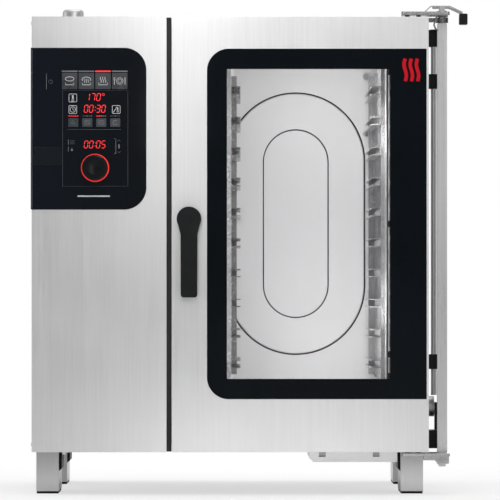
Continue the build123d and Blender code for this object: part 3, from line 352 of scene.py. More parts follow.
class Shader(Nodes):
    """A node material being built: a principled shader with the row-frame position at hand."""

    def __init__(self, name):
        self.material = bpy.data.materials.new(name)
        self.material.use_nodes = True
        super().__init__(self.material.node_tree)
        self.base = self.add("ShaderNodeBsdfPrincipled")
        self.output = self.add("ShaderNodeOutputMaterial", {0: self.base.outputs[0]})
        self.place = self.add("ShaderNodeTexCoord").outputs["Object"]

    def noise(self, scale, detail=3.0, stretch=(1, 1, 1), roughness=0.5, shift=0.0):
        """Noise over the row frame, from 0 to 1."""
        mapping = self.add("ShaderNodeMapping", {"Scale": stretch, "Location": (shift, shift, shift),
                                                 "Vector": self.place})
        return self.add("ShaderNodeTexNoise", {"Scale": scale, "Detail": detail, "Roughness": roughness,
                                               "Vector": mapping.outputs[0]}).outputs[0]

    def axis(self, index):
        return self.add("ShaderNodeSeparateXYZ", {0: self.place}).outputs[index]

    def bump(self, height, distance, strength=1.0, edge=0.0):
        """Bump from a height, over edges eased by a small radius."""
        node = self.add("ShaderNodeBump", {"Strength": strength, "Distance": distance * MM, "Height": height})
        if edge:
            ease = self.add("ShaderNodeBevel", {"Radius": edge * MM}, samples=3)
            self.put(node.inputs["Normal"], ease.outputs[0])
        self.put(self.base.inputs["Normal"], node.outputs[0])

    def set(self, **values):
        for key, value in values.items():
            self.put(self.base.inputs[key.replace("_", " ")], value)


def colour(level, tint=(1.0, 1.0, 1.0)):
    return (level * tint[0], level * tint[1], level * tint[2], 1.0)


GRAIN = {"x": (0.012, 1, 1), "y": (1, 0.012, 1), "z": (1, 1, 0.012)}


def brushed(name, level, grain="z", rough=0.3, streak=0.10, cloud=0.06, edge=0.6, tint=(1.0, 1.0, 1.0),
            painted_shading=(), metal=1.0):
    """Brushed stainless steel: fine and broad lines along the grain, and slow cloudy changes of tone.

    A fade in the list is (axis, from, to, tone at from, tone at to): painted light and shade, the colour
    scaled from one tone to the other between two places.
    """
    s = Shader(name)
    fine = s.noise(900, 2, GRAIN[grain])
    broad = s.noise(170, 3, GRAIN[grain], shift=3.1)
    slow = s.noise(2.2, 2, shift=1.7)
    lines = s.math("ADD", s.math("MULTIPLY", fine, 0.55), s.math("MULTIPLY", broad, 0.45))
    low, high = colour(level * (1 - streak), tint), colour(min(level * (1 + streak), 1.0), tint)
    tone = s.mix(s.ramp(lines, 0.3, 0.7), low, high)
    shade = s.mix(s.ramp(slow, 0.3, 0.7), colour(1 - cloud), colour(1.0))
    # painted light and shade: each fade scales the colour by place
    for axis, start, end, first, second in painted_shading:
        grey = s.mix(s.ramp(s.axis(axis), start, end), colour(first), colour(second))
        shade = s.mix(1.0, shade, grey, "MULTIPLY")
    smear = s.noise(14, 4, shift=5.0)
    s.set(Base_Color=s.mix(1.0, tone, shade, "MULTIPLY"), Metallic=metal,
          Roughness=s.math("ADD", s.ramp(lines, 0.25, 0.75, rough - 0.05, rough + 0.07),
                           s.ramp(smear, 0.35, 0.75, -0.02, 0.03)))
    s.bump(lines, 0.02, 0.35, edge)
    return s.material


def polished(name, level=0.7, rough=0.24):
    """Polished steel with faint wipe marks."""
    s = Shader(name)
    wipe = s.noise(60, 4, (1, 1, 0.2))
    s.set(Base_Color=s.mix(s.ramp(wipe, 0.3, 0.7), colour(level * 0.94), colour(level)), Metallic=1.0,
          Roughness=s.ramp(wipe, 0.3, 0.7, rough, rough + 0.08))
    s.bump(wipe, 0.01, 0.2, 0.5)
    return s.material


def moulded(name, dark, light, rough=0.45, grain_scale=1400, grain_depth=0.03, edge=0.6, gloss=0.5):
    """Moulded plastic or rubber: fine pebble texture and slight changes of tone and gloss."""
    s = Shader(name)
    pebble = s.noise(grain_scale, 2)
    slow = s.noise(25, 3, shift=2.0)
    s.set(Base_Color=s.mix(s.ramp(slow, 0.35, 0.65), dark, light),
          Roughness=s.ramp(slow, 0.3, 0.7, rough - 0.05, rough + 0.08), Specular_IOR_Level=gloss)
    s.bump(pebble, grain_depth, 0.5, edge)
    return s.material


def ink(name, dark, light, rough=0.5, gloss=0.5):
    """Print on the panel or the glass."""
    return moulded(name, dark, light, rough, 900, 0.005, 0, gloss)


def gloss_black(name, dark=(0.002, 0.0035, 0.0055, 1), light=(0.0035, 0.006, 0.011, 1), rough=0.06):
    """Black glass or lacquer: a deep blue-black with faint smears in its gloss, and a painted sheen that
    makes it lighter towards the bezel's left.
    """
    s = Shader(name)
    smear = s.noise(7, 5, shift=4.0)
    # painted sheen: lighter at the bezel's left edge, darker at its right
    across = s.ramp(s.axis(0), BEZEL_LOW.x, BEZEL_HIGH.x)
    s.set(Base_Color=s.mix(across, light, dark), Specular_IOR_Level=0.2,
          Roughness=s.ramp(smear, 0.35, 0.7, rough, rough + 0.05))
    s.bump(smear, 0.01, 0.05, 0.5)
    return s.material


def glowing(name, tone, strength, unevenness=0.08):
    """A lit segment or lamp with a slightly uneven glow."""
    s = Shader(name)
    s.set(Base_Color=tone, Emission_Color=tone, Roughness=0.4,
          Emission_Strength=s.ramp(s.noise(300, 2), 0.3, 0.7, strength * (1 - unevenness), strength))
    return s.material


def lit_ring(name, tone, strength, middle, inner, outer):
    """A light guide that glows between two radii round a point on the panel."""
    s = Shader(name)
    flat = s.add("ShaderNodeCombineXYZ", {0: s.axis(0), 2: s.axis(2)})
    distance = s.add("ShaderNodeVectorMath", {0: flat.outputs[0], 1: middle}, operation="DISTANCE")
    radius = distance.outputs["Value"]
    lit = s.math("MULTIPLY", s.ramp(radius, (inner - 0.3) * MM, inner * MM),
                 s.ramp(radius, outer * MM, (outer + 0.3) * MM, 1.0, 0.0))
    uneven = s.ramp(s.noise(200, 2), 0.3, 0.7, strength * 0.9, strength)
    s.set(Base_Color=s.mix(lit, (0.004, 0.005, 0.006, 1), tone), Emission_Color=tone, Roughness=0.35,
          Emission_Strength=s.math("MULTIPLY", lit, uneven), Specular_IOR_Level=0.2)
    return s.material


def clear_glass(name, tint):
    """Thin clear pane: what is behind shows through, with a weak mirror over it."""
    s = Shader(name)
    see = s.add("ShaderNodeBsdfTransparent", {0: tint})
    smear = s.ramp(s.noise(9, 4, shift=6.0), 0.35, 0.7, 0.02, 0.07)
    mirror = s.add("ShaderNodeBsdfGlossy", {"Roughness": smear})
    turned = s.add("ShaderNodeLayerWeight").outputs["Facing"]
    weight = s.math("ADD", s.math("MULTIPLY", s.math("POWER", turned, 5.0), 0.6), 0.017)
    clear = s.choose(weight, see.outputs[0], mirror.outputs[0])
    s.put(s.output.inputs[0], clear)
    return s, clear


def printed_glass():
    """The door's outer pane: clear in the window and printed black round it."""
    s, clear = clear_glass("door_glass_print", (0.965, 0.965, 0.97, 1))
    s.set(Base_Color=s.mix(s.ramp(s.noise(5, 3), 0.35, 0.65), (0.0015, 0.003, 0.0048, 1),
                           (0.0022, 0.0042, 0.0068, 1)),
          Roughness=s.ramp(s.noise(8, 4, shift=2.2), 0.35, 0.7, 0.05, 0.1), Specular_IOR_Level=0.14)
    inside = 1.0
    for index, (low, high) in ((0, [x_at(x) for x in WINDOW_X]), (2, [z * MM for z in WINDOW_Z])):
        place = s.axis(index)
        between = s.math("MULTIPLY", s.math("GREATER_THAN", place, low), s.math("LESS_THAN", place, high))
        inside = s.math("MULTIPLY", between, inside)
    s.put(s.output.inputs[0], s.choose(inside, s.base.outputs[0], clear))
    return s.material


def fibre(name):
    """Mineral wool: yellow-brown matted fibres."""
    s = Shader(name)
    strands = s.noise(120, 8, (1, 1, 3), 0.7)
    s.set(Base_Color=s.mix(s.ramp(strands, 0.3, 0.7), (0.42, 0.33, 0.16, 1), (0.78, 0.7, 0.45, 1)),
          Roughness=0.95, Sheen_Weight=0.3)
    s.bump(strands, 3, 0.8)
    return s.material


def circuit(name):
    """Circuit board: green lacquer with finer tracks."""
    s = Shader(name)
    tracks = s.add("ShaderNodeTexBrick", {"Scale": 60, "Vector": s.place, "Color1": (0.01, 0.09, 0.04, 1),
                                          "Color2": (0.015, 0.12, 0.05, 1), "Mortar": (0.03, 0.2, 0.08, 1)})
    s.set(Base_Color=tracks.outputs[0], Roughness=s.ramp(s.noise(40), 0.3, 0.7, 0.25, 0.4))
    return s.material


STEEL = brushed("steel_upright_grain", 0.78, "z", 0.34, streak=0.045, cloud=0.05)
STEEL_LEVEL = brushed("steel_level_grain", 0.72, "y", 0.32)
STEEL_BAR = brushed("steel_bar", 0.62, "z", 0.3, streak=0.08)
STEEL_ROD = brushed("steel_rod", 0.5, "z", 0.28, streak=0.1)
# Painted light: the steel is painted brighter above 1.0685 m than below 1.0575 m, lighting the upper arm's
# top, and more than twice as bright below 0.3 m, where the lower arm is.
STEEL_ARM = brushed("steel_arm", 0.33, "y", 0.26, streak=0.1,
                    painted_shading=((2, 1.0575, 1.0685, 0.62, 1.45), (2, 0.3, 0.7, 2.2, 1.0)))
STEEL_DARK = brushed("steel_dark", 0.34, "z", 0.32, streak=0.15)
# Painted light and shade: the cavity between x 448 and 782 is painted a fifth darker than its left and right
# edges.
CAVITY = brushed("cavity_steel", 0.95, "z", 0.42, streak=0.025, cloud=0.02, edge=1.2, metal=0.4,
                 painted_shading=((0, x_at(445), x_at(448), 1.25, 1.0), (0, x_at(782), x_at(786), 0.8, 1.0)))
RACK_STEEL = brushed("rack_steel", 0.6, "y", 0.22, streak=0.2, metal=0.75)
# Painted shade: the left rack keeps its bright steel at the wall side and is painted about a third as bright
# beyond x 441.
LEFT_RACK_STEEL = brushed("left_rack_steel", 0.95, "y", 0.25, streak=0.15, metal=0.5,
                          painted_shading=((0, x_at(440.3), x_at(441), 1.0, 0.34),))
# Painted highlight: the beads are painted brighter than the rack steel they sit on.
BEAD_HIGHLIGHT_STEEL = brushed("bead_highlight_steel", 0.9, "y", 0.18, streak=0.1, metal=0.6)
# Painted shade under the oven: the legs are painted darker towards their tops.
LEG_STEEL = brushed("leg_steel", 0.66, "z", 0.34, streak=0.04, cloud=0.04,
                    painted_shading=((2, 96 * MM, 30 * MM, 0.62, 1.0),))
PIPE = brushed("pipe_steel", 0.6, "y", 0.35)
POLISHED = polished("polished_steel")
VENT_STEEL = brushed("vent_steel", 0.55, "x", 0.42, streak=0.05)
BRASS = brushed("brass", 0.75, "y", 0.3, tint=(1.0, 0.78, 0.42))
MOTOR = brushed("motor_aluminium", 0.45, "x", 0.5)
GREY_METAL = brushed("grey_plate", 0.5, "x", 0.45)
BLACK = moulded("black_plastic", (0.004, 0.0045, 0.005, 1), (0.007, 0.008, 0.009, 1), 0.42, gloss=0.2)
RUBBER = moulded("black_rubber", (0.009, 0.009, 0.0095, 1), (0.018, 0.018, 0.019, 1), 0.62, 700, 0.05)
GREY_PLASTIC = moulded("grey_plastic", (0.42, 0.43, 0.44, 1), (0.5, 0.51, 0.52, 1), 0.5)
PANEL = gloss_black("panel_glass")
FLAP = gloss_black("flap_lacquer", (0.004, 0.0065, 0.009, 1), (0.0065, 0.0095, 0.014, 1), 0.12)
KNOB = gloss_black("knob_lacquer", (0.002, 0.002, 0.0025, 1), (0.004, 0.005, 0.007, 1), 0.16)
KEY = moulded("key_cap", (0.026, 0.03, 0.036, 1), (0.045, 0.05, 0.058, 1), 0.3, 900, 0.01, 0.4)
MARK = ink("mark_light", (0.42, 0.43, 0.44, 1), (0.55, 0.56, 0.57, 1))
MARK_DIM = ink("mark_dim", (0.045, 0.05, 0.056, 1), (0.06, 0.066, 0.072, 1))
MARK_MID = ink("mark_mid", (0.13, 0.14, 0.15, 1), (0.18, 0.19, 0.2, 1))
MARK_TEAL = ink("mark_teal", (0.04, 0.11, 0.12, 1), (0.05, 0.14, 0.15, 1))
RED_PRINT = ink("red_print", (0.5, 0.004, 0.012, 1), (0.56, 0.006, 0.016, 1), 0.4, 0.1)
LENS = moulded("lens_clear", (0.24, 0.25, 0.25, 1), (0.4, 0.41, 0.41, 1), 0.18, 200, 0.02, 0.4)
# pale print for painted highlights on the rear wall's pressed steps
PAINTED_HIGHLIGHT = moulded("painted_edge_highlight", (0.7, 0.71, 0.72, 1), (0.78, 0.79, 0.8, 1), 0.4, 300, 0.01, 0)
# black print for painted shade lines: beside the pressed steps and round the USB flap
PAINTED_SHADE = moulded("painted_shade_black", (0.006, 0.006, 0.007, 1), (0.012, 0.012, 0.013, 1), 0.6, 700, 0.02, 0, 0.2)
DARK_HOLE = moulded("hole_shadow", (0.01, 0.01, 0.01, 1), (0.02, 0.02, 0.02, 1), 0.8)
RED_GLOW = glowing("red_glow", (0.8, 0.022, 0.025, 1), 0.95)
LAMP = glowing("lamp_cover", (0.5, 0.5, 0.49, 1), 0.12, 0.38)
RED_RING = lit_ring("red_ring", (0.72, 0.03, 0.03, 1), 0.75,
                    ((DIAL_LOW.x + DIAL_HIGH.x) / 2, 0.0, (DIAL_LOW.z + DIAL_HIGH.z) / 2), 28.3, 30.9)
FIBRE = fibre("insulation_fibre")
BOARD = circuit("circuit_board")
DOOR_GLASS = printed_glass()
INNER_GLASS = clear_glass("inner_glass_clear", (0.975, 0.975, 0.98, 1))[0].material

NODE_MATERIALS = {
    STEEL: """left_side_panel right_side_panel rear_panel control_front_panel front_frame door_outer_shell
              door_inner_frame drip_tray""",
    STEEL_LEVEL: "top_cover base_frame door_channels latch_keeper inner_pane_hinges latch_spindle",
    STEEL_ARM: "swing_arms hinge_brackets release_lever",
    STEEL_BAR: "swing_post",
    STEEL_ROD: "guide_rod",
    LEG_STEEL: "legs",
    CAVITY: "cavity_liner suction_panel",
    LEFT_RACK_STEEL: "left_rack",
    RACK_STEEL: "right_rack fan_wheel",
    PIPE: "drain_pipe steam_generator heating_element",
    VENT_STEEL: "vent_dome",
    POLISHED: "leg_bolts",
    BRASS: "water_inlets",
    MOTOR: "fan_motor",
    BLACK: "door_handle release_grip rod_clamps leg_feet door_glides side_roller dial_shaft",
    RUBBER: "door_seals",
    PANEL: "control_bezel temperature_key time_key core_probe_key",
    FLAP: "usb_flap",
    KNOB: "dial_knob",
    KEY: """hot_air_key combi_key steam_key regenerate_key
            function_key_1 function_key_2 function_key_3 function_key_4""",
    RED_RING: "dial_light_ring",
    LAMP: "door_light_strip",
    FIBRE: "cavity_insulation",
    BOARD: "control_board",
    DOOR_GLASS: "door_glass",
    INNER_GLASS: "inner_glass",
}


def dress_nodes():
    """Gives every CAD node its material."""
    table = {node: material for material, nodes in NODE_MATERIALS.items() for node in nodes.split()}
    for name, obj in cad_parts.items():
        obj.data.materials.clear()
        obj.data.materials.append(table[name])


# ---------------- control panel prints

SEGMENTS = {
    "a": ((0.12, 1.0), (0.88, 1.0)), "b": ((1.0, 0.94), (1.0, 0.56)), "c": ((1.0, 0.44), (1.0, 0.06)),
    "d": ((0.12, 0.0), (0.88, 0.0)), "e": ((0.0, 0.44), (0.0, 0.06)), "f": ((0.0, 0.94), (0.0, 0.56)),
    "g": ((0.12, 0.5), (0.88, 0.5)),
}
DIGITS = {"0": "abcdef", "1": "bc", "3": "abcdg", "5": "acdfg", "7": "abc"}
DIGIT_WIDTH, DIGIT_HEIGHT, DIGIT_SLANT = 7.6, 15.6, 0.14


def digits(text, pitch):
    """Shapes of slanted seven-segment numbers, and where the next would begin. A colon takes less room."""
    shapes, x = [], 0
    for sign in text:
        if sign == ":":
            for share in (0.28, 0.72):
                height = share * DIGIT_HEIGHT
                shapes.append(fill(circle(x + pitch * 0.12 + DIGIT_SLANT * height, height, 0.9, 10)))
            x += pitch * 0.36
            continue
        for name in DIGITS[sign]:
            shapes.append(line([(x + a * DIGIT_WIDTH + b * DIGIT_SLANT * DIGIT_HEIGHT, b * DIGIT_HEIGHT)
                                for a, b in SEGMENTS[name]], 1.45))
        x += pitch
    return shapes, x


def build_displays():
    """The three lit readings: a temperature and two times."""
    bm = bmesh.new()
    shapes, end = digits("170", 12)
    degree = loop(circle(end + 3.4, DIGIT_HEIGHT - 2.2, 2.4, 16), 0.9)
    draw_on_panel(bm, shapes + [degree], 121, 116.8)
    for text, v in (("00:30", 142.6), ("00:05", 221.4)):
        draw_on_panel(bm, digits(text, 11.4)[0], 117.5, v)
    piece("display_digits", bm, "casing", RED_GLOW)


def dish(wide):
    """A shallow dish seen from the side."""
    return line([(-wide, -4), (-wide, -8.5), (wide, -8.5), (wide, -4)], 1.5)


def waves(places, low, high, swing, width):
    return [line(wave(x, low, high, swing), width) for x in places]


KEY_FRAME = loop(rounded((-8.6, 8.6), (-8.8, 8.8), 1.8, 3), 1.2)
KEY_ICONS = {
    "hot_air_key": (MARK, [loop(arc(0, 4.6, 9.6, 4.6, 0, 345), 1.5), dish(9)]),
    "combi_key": (MARK, [line(arc(0, 3.4, 9.4, 5.2, -30, 210), 1.5), dish(9)]
                  + waves((-4.2, 0, 4.2), -4, 5, 0.8, 1.1)),
    "steam_key": (MARK, waves((-5, 0, 5), -4, 9, 1.3, 1.3) + [dish(9.6)]),
    # a plate between a fork and a knife
    "regenerate_key": (MARK, [loop(circle(0, 0, 7.2, 28), 1.2), loop(circle(0, 0, 4.2, 24), 1.0),
                              line([(-11.8, -8), (-11.8, 2)], 1.6), line([(11.6, -8), (11.6, 8)], 1.8)]
                       + [line([(x, 2), (x, 8)], 0.7) for x in (-13.2, -11.8, -10.4)]),
    "function_key_1": (MARK_TEAL, [loop(circle(*blade, 1.9, 12), 1.0)
                                   for blade in arc(0, 0, 3, 3, 20, 290, 3)]),
    "function_key_2": (MARK_MID, [loop(rounded((-5, 5), (-5, 5), 1, 2), 0.9)]
                       + waves((-1.8, 1.8), -3.4, 3.4, 0.7, 0.8)),
    "function_key_3": (MARK_MID, [loop(rounded((-5.5, 5.5), (-4, 4.5), 2, 3), 0.9),
                                  line([(-3, -1.5), (0, 1.8), (3, -1.5)], 0.9)]),
    "function_key_4": (MARK_MID, [line(arc(0, 0, 4.8, 4.8, 60, 330), 1.1),
                                  line([(0.6, 6), (3, 4), (0.8, 2)], 0.9)]),
    # thermometer, clock, and probe beside a thermometer
    "temperature_key": (MARK, [KEY_FRAME, fill(rounded((-1.9, 1.9), (-6.5, 6.5), 1.8, 4)),
                               fill(circle(0, -5, 3, 16))]),
    "time_key": (MARK, [KEY_FRAME, loop(circle(0, 0, 6, 24), 1.2), line([(0, 3.6), (0, 0), (3, -1.6)], 1.1)]),
    "core_probe_key": (MARK, [KEY_FRAME, line([(-6.5, -6), (-1.5, 1), (1, 6)], 1.3),
                              fill(rounded((1.6, 4.6), (-5.5, 5.5), 1.4, 4)),
                              fill(circle(3.1, -4, 2.4, 16))]),
}


def build_key_icons():
    """The print on every key, which moves with the key."""
    for name, (material, shapes) in KEY_ICONS.items():
        low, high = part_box(name)
        bm = bmesh.new()
        draw(bm, shapes, (low.x + high.x) / 2, (low.z + high.z) / 2, low.y)
        piece(name + "_icon", bm, name + "_cap", material)


# Five small lamps over each function key: red, grey or dim.
LAMP_ROWS = ("rrrrr", "ddgdg", "rrrgg", "ddgdd")


def build_panel_marks():
    """Light bars over the keys, small lamps, frame lines and the faint service marks."""
    grey, red, dim, shade, pale = meshes(5)
    for name in ("hot_air_key", "combi_key", "steam_key", "regenerate_key"):
        low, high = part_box(name)
        half = (high.x - low.x) / 2 / MM - 0.75
        bar = fill(rounded((-half, half), (1.2, 3.9), 0.6, 2))
        draw(red if name == "steam_key" else grey, [bar], (low.x + high.x) / 2, high.z, BEZEL_LOW.y)
    for number, row in enumerate(LAMP_ROWS, 1):
        low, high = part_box("function_key_%d" % number)
        for spot, sign in enumerate(row):
            middle = (spot - 2) * 4.6
            lamp = fill(rounded((middle - 1.7, middle + 1.7), (3, 4.8), 0.5, 2))
            draw({"r": red, "g": grey, "d": dim}[sign], [lamp], (low.x + high.x) / 2, high.z, BEZEL_LOW.y)
    # painted shadow lines just outside the flap's lower, upper and right edges
    low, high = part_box("usb_flap")
    wide, tall = (high.x - low.x) / MM, (high.z - low.z) / MM
    draw(shade, [line([(0, -0.7), (wide, -0.7)], 1.3), line([(0, tall + 0.7), (wide, tall + 0.7)], 1.3),
                 line([(wide + 0.7, 0), (wide + 0.7, tall)], 1.0)], low.x, low.z, BEZEL_LOW.y)
    draw_on_panel(dim, [loop(square((70.5, 214.5), (-306, -94.2)), 0.8)])
    draw_on_panel(dim, [line([(0, 0), (117, 0)], 0.8)], 82, 180.6)
    draw_on_panel(pale, [fill(rounded((0, 72), (-1.7, 1.7), 1.6, 4))], 103, 328)
    draw_small_marks(dim, grey)
    piece("flap_shadow_line", shade, "casing", PAINTED_SHADE)
    piece("panel_light_bar", pale, "casing", MARK)
    piece("panel_bars_grey", grey, "casing", MARK_MID)
    piece("panel_bars_red", red, "casing", RED_GLOW)
    piece("panel_lines", dim, "casing", MARK_DIM)


def draw_small_marks(dim, grey):
    """Program and drop marks on the left, an up and down slider on the right, and the power mark."""
    for v in (203, 218.5):
        draw_on_panel(grey, [line([(0, 0), (0, -11)], 0.9)], 83, v)
    draw_on_panel(dim, [line([(-5, height), (5, height)], 1.1) for height in (3.4, 0, -3.4)], 92, 209)
    draw_on_panel(grey, [fill(circle(0, -1, 2.4, 14)), line([(-1.4, 0), (0, 4), (1.4, 0)], 1.2)], 91, 225)
    draw_on_panel(grey, [line([(0, 0), (4, 0), (4, -33), (0, -33)], 0.9)], 184, 201)
    draw_on_panel(dim, [line([(-3.4, -2.4), (0, 0), (3.4, -2.4)], 1.0)], 195, 203.5)
    draw_on_panel(dim, [line([(-3.4, 2.4), (0, 0), (3.4, 2.4)], 1.0)], 195, 231.5)
    draw_on_panel(grey, [fill(rounded((-1.4, 1.4), (-5, 5), 1.2, 3))], 195, 217.5)
    draw_on_panel(grey, [line([(0, 0), (0, -35)], 0.9)], 34.6, 57)
    draw_on_panel(dim, [line(arc(0, 0, 4.2, 4.2, 120, 420), 1.1), line([(0, 1), (0, 5.6)], 1.1)], 44, 75)
    bottom = (BEZEL_LOW.z - BEZEL_HIGH.z) / MM
    draw_on_panel(grey, [line([(2.6, bottom + 2), (2.6, -2)], 0.9)])


# ---------------- door

# The handle's round head runs through straight flanks into the narrower, slightly tapered grip.
HANDLE_HEAD = 27
HANDLE_OUTLINE = (arc(0, 0, HANDLE_HEAD, HANDLE_HEAD, -28, 208, 36) + [(-18.6, -34)]
                  + arc(-12, -167, 6, 6, 180, 270, 6) + arc(12, -167, 6, 6, 270, 360, 6) + [(18.6, -34)])


def build_handle():
    """Moulded handle in the place of the plain one, with a raised line and ribs on its grip."""
    low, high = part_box("door_handle")
    x, y, z = (low.x + high.x) / 2, low.y, high.z - HANDLE_HEAD * MM
    lever, ribs = meshes(2)
    add_plate(lever, placed(HANDLE_OUTLINE, x, z), y, y + 27 * MM)
    add_lathe(lever, [(17, 0), (17, 18), (21, 19.4), (21, 21.6)], (x, y + 24.8 * MM, z), BACK, 40)
    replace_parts(piece("door_handle_moulded", lever, "handle", BLACK, 5), "door_handle")
    outer, inner = (placed(rounded((d - 9.5, 9.5 - d), (d - 150, -62 - d), 9 - d, 8), x, z) for d in (0, 0.6))
    add_ring_plate(ribs, outer, inner, y - 0.5 * MM, y + 1 * MM)
    for step in range(7):
        rib = -88 - 7 * step
        outline = placed(rounded((-5.5, 5.5), (rib - 1.1, rib + 1.1), 1, 3), x, z)
        add_plate(ribs, outline, y - 0.7 * MM, y + 1 * MM)
    piece("handle_grip_ribs", ribs, "handle", BLACK, 0.3)


def build_door_mark():
    """Three wavy red bars, the machine's steam sign, printed on the door glass."""
    bm = bmesh.new()
    bars = [line(wave(x, -50, 0, 2.6, 28), 7.6) for x in (-13.6, 0, 13.6)]
    draw(bm, bars, GLASS_HIGH.x - 33.5 * MM, GLASS_HIGH.z - 22 * MM, GLASS_LOW.y)
    piece("door_steam_sign", bm, "door", RED_PRINT)


def build_door_details():
    """Lenses and black clips of the lamp strip, and screws inside the door."""
    low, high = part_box("door_light_strip")
    lenses, clips, screws = meshes(3)
    count = 11
    pitch = (high.z - low.z) / count
    left, right, tip = low.x + 2.7 * MM, high.x - 0.5 * MM, low.x - 0.3 * MM
    for step in range(count):
        z = low.z + pitch * (step + 0.5)
        bottom, top = z - pitch * 0.44, z + pitch * 0.44
        add_plate(lenses, [(left, bottom), (right, bottom), (right, top), (left, top), (tip, z)],
                  low.y - 1.4 * MM, low.y + 0.5 * MM)
    for z in (low.z + 2 * MM, 311 * MM, (low.z + high.z) / 2, high.z - 2 * MM):
        add_plate(clips, square((low.x - 0.8 * MM, high.x), (z - 7 * MM, z + 7 * MM)), low.y - 2 * MM, high.y)
    for share in (0.06, 0.35, 0.65, 0.94):
        z = DOOR_LOW.z + (DOOR_HIGH.z - DOOR_LOW.z) * share
        for x in (DOOR_LOW.x + 14 * MM, DOOR_HIGH.x - 14 * MM):
            add_screw(screws, (x, DOOR_HIGH.y, z), BACK, 4)
    piece("lamp_lenses", lenses, "door", LENS, 0.4)
    piece("lamp_clips", clips, "door", BLACK, 0.6)
    piece("door_inner_screws", screws, "door", POLISHED, 0.3)


# ---------------- cavity


def build_cavity_details():
    """Floor strainer, rack knobs on the left wall, a bead along the floor's edge and rear wall studs."""
    steel, bright, dark = meshes(3)
    drain = at(590, 300, CAVITY_FLOOR)
    add_lathe(steel, [(34, 0), (34, 1.2), (31, 2.4), (0, 2.4)], drain, UP, 40)
    for ring in (8, 15, 22):
        for a, b in circle(0, 0, ring, ring // 2 + 2):
            add_lathe(dark, [(1.9, 0), (1.9, 0.3), (0, 0.3)], drain + Vector((a, b, 2.3)) * MM, UP, 10)
    for y in (60, 540):
        for z in (292, 922):
            add_lathe(steel, [(9, 0), (9, 3), (7, 5), (0, 5.4)], at(430, y, z), RIGHT, 24)
    edge_x, edge_z = LINER_HIGH.x - 2 * MM, LINER_LOW.z + 2 * MM
    add_tube(steel, [(edge_x, y_at(8), edge_z), (edge_x, y_at(560), edge_z)], 2.2, 8)
    for z in (822, 955):
        add_lathe(bright, [(7.5, 0), (7.5, 4), (5.6, 5.2), (0, 5.2)], at(757.5, 586, z), FRONT, 24)
    piece("cavity_fittings", steel, "casing", RACK_STEEL, 0.4)
    piece("strainer_holes", dark, "casing", DARK_HOLE)
    piece("wall_studs", bright, "casing", POLISHED, 0.3)


def stadium(size, grow):
    """The outline of one of the rear wall's pressed shapes, grown by a width."""
    radius, straight = size[0] / 2 + grow, (size[1] - size[0]) / 2
    return placed(arc(EMBOSS_X, EMBOSS_Z + straight, radius, radius, 0, 180, 40)
                  + arc(EMBOSS_X, EMBOSS_Z - straight, radius, radius, 180, 360, 40))


def build_pressed_lines():
    """Painted shade and a painted highlight on the two pressed outlines on the rear wall: a black line just
    outside each outline and a pale line just inside it.
    """
    dark, bright = meshes(2)
    wall, band = y_at(CAVITY_REAR), y_at(CAVITY_REAR - EMBOSS_DEPTH)
    # black rings are painted shade, pale rings are painted highlights
    bands = ((dark, EMBOSS_OUTER, 3.6, 0.1, wall), (bright, EMBOSS_OUTER, -1.9, -3.4, band),
             (dark, EMBOSS_INNER, 3.4, 0.6, band), (bright, EMBOSS_INNER, -0.2, -1.4, wall))
    for bm, size, outer, inner, y in bands:
        add_ring_plate(bm, stadium(size, outer), stadium(size, inner), y - HAIR, y)
    piece("pressed_painted_shade", dark, "casing", PAINTED_SHADE)
    piece("pressed_painted_highlights", bright, "casing", PAINTED_HIGHLIGHT)


def build_probe():
    """Food probe parked upright inside the front frame's left, with its lead."""
    probe, lead = meshes(2)
    foot = at(404, 24, 560)
    add_lathe(probe, [(1.8, 0), (2.0, 86), (5.5, 90), (6.5, 118), (4.0, 122), (0, 123)], foot, UP, 18)
    points = []
    for step in range(25):
        share = step / 24
        swing = math.sin(math.pi * share)
        points.append(foot + Vector((2 + 4 * swing, 34 * swing, 122 + 26 * swing - 150 * share)) * MM)
    add_tube(lead, points, 1.9, 8)
    piece("food_probe", probe, "casing", POLISHED)
    piece("food_probe_lead", lead, "casing", GREY_PLASTIC)


def build_rack_details():
    """Round beads on the lips of every rail, and two upright ones on the web behind its front end."""
    for side, web, inward in (("left", TRAY_LEFT, 1), ("right", TRAY_RIGHT, -1)):
        low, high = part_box(side + "_rack")
        lip_x, web_x = x_at(web + inward * 20), x_at(web - inward * 0.75)
        bm = bmesh.new()
        for level in range(RAIL_COUNT):
            z = RAIL_FIRST + RAIL_PITCH * level
            for lip_z in ((z - 8.1) * MM, (z + 8.1) * MM):
                add_tube(bm, [(lip_x, low.y + 1 * MM, lip_z), (lip_x, high.y - 3 * MM, lip_z)], 1, 8)
            for y in (low.y + 5 * MM, low.y + 9 * MM):
                add_tube(bm, [(web_x, y, (z - 8) * MM), (web_x, y, (z + 8) * MM)], 1, 6)
        piece(side + "_rack_beads", bm, side + "_rack_body", BEAD_HIGHLIGHT_STEEL)


# ---------------- door's side hardware


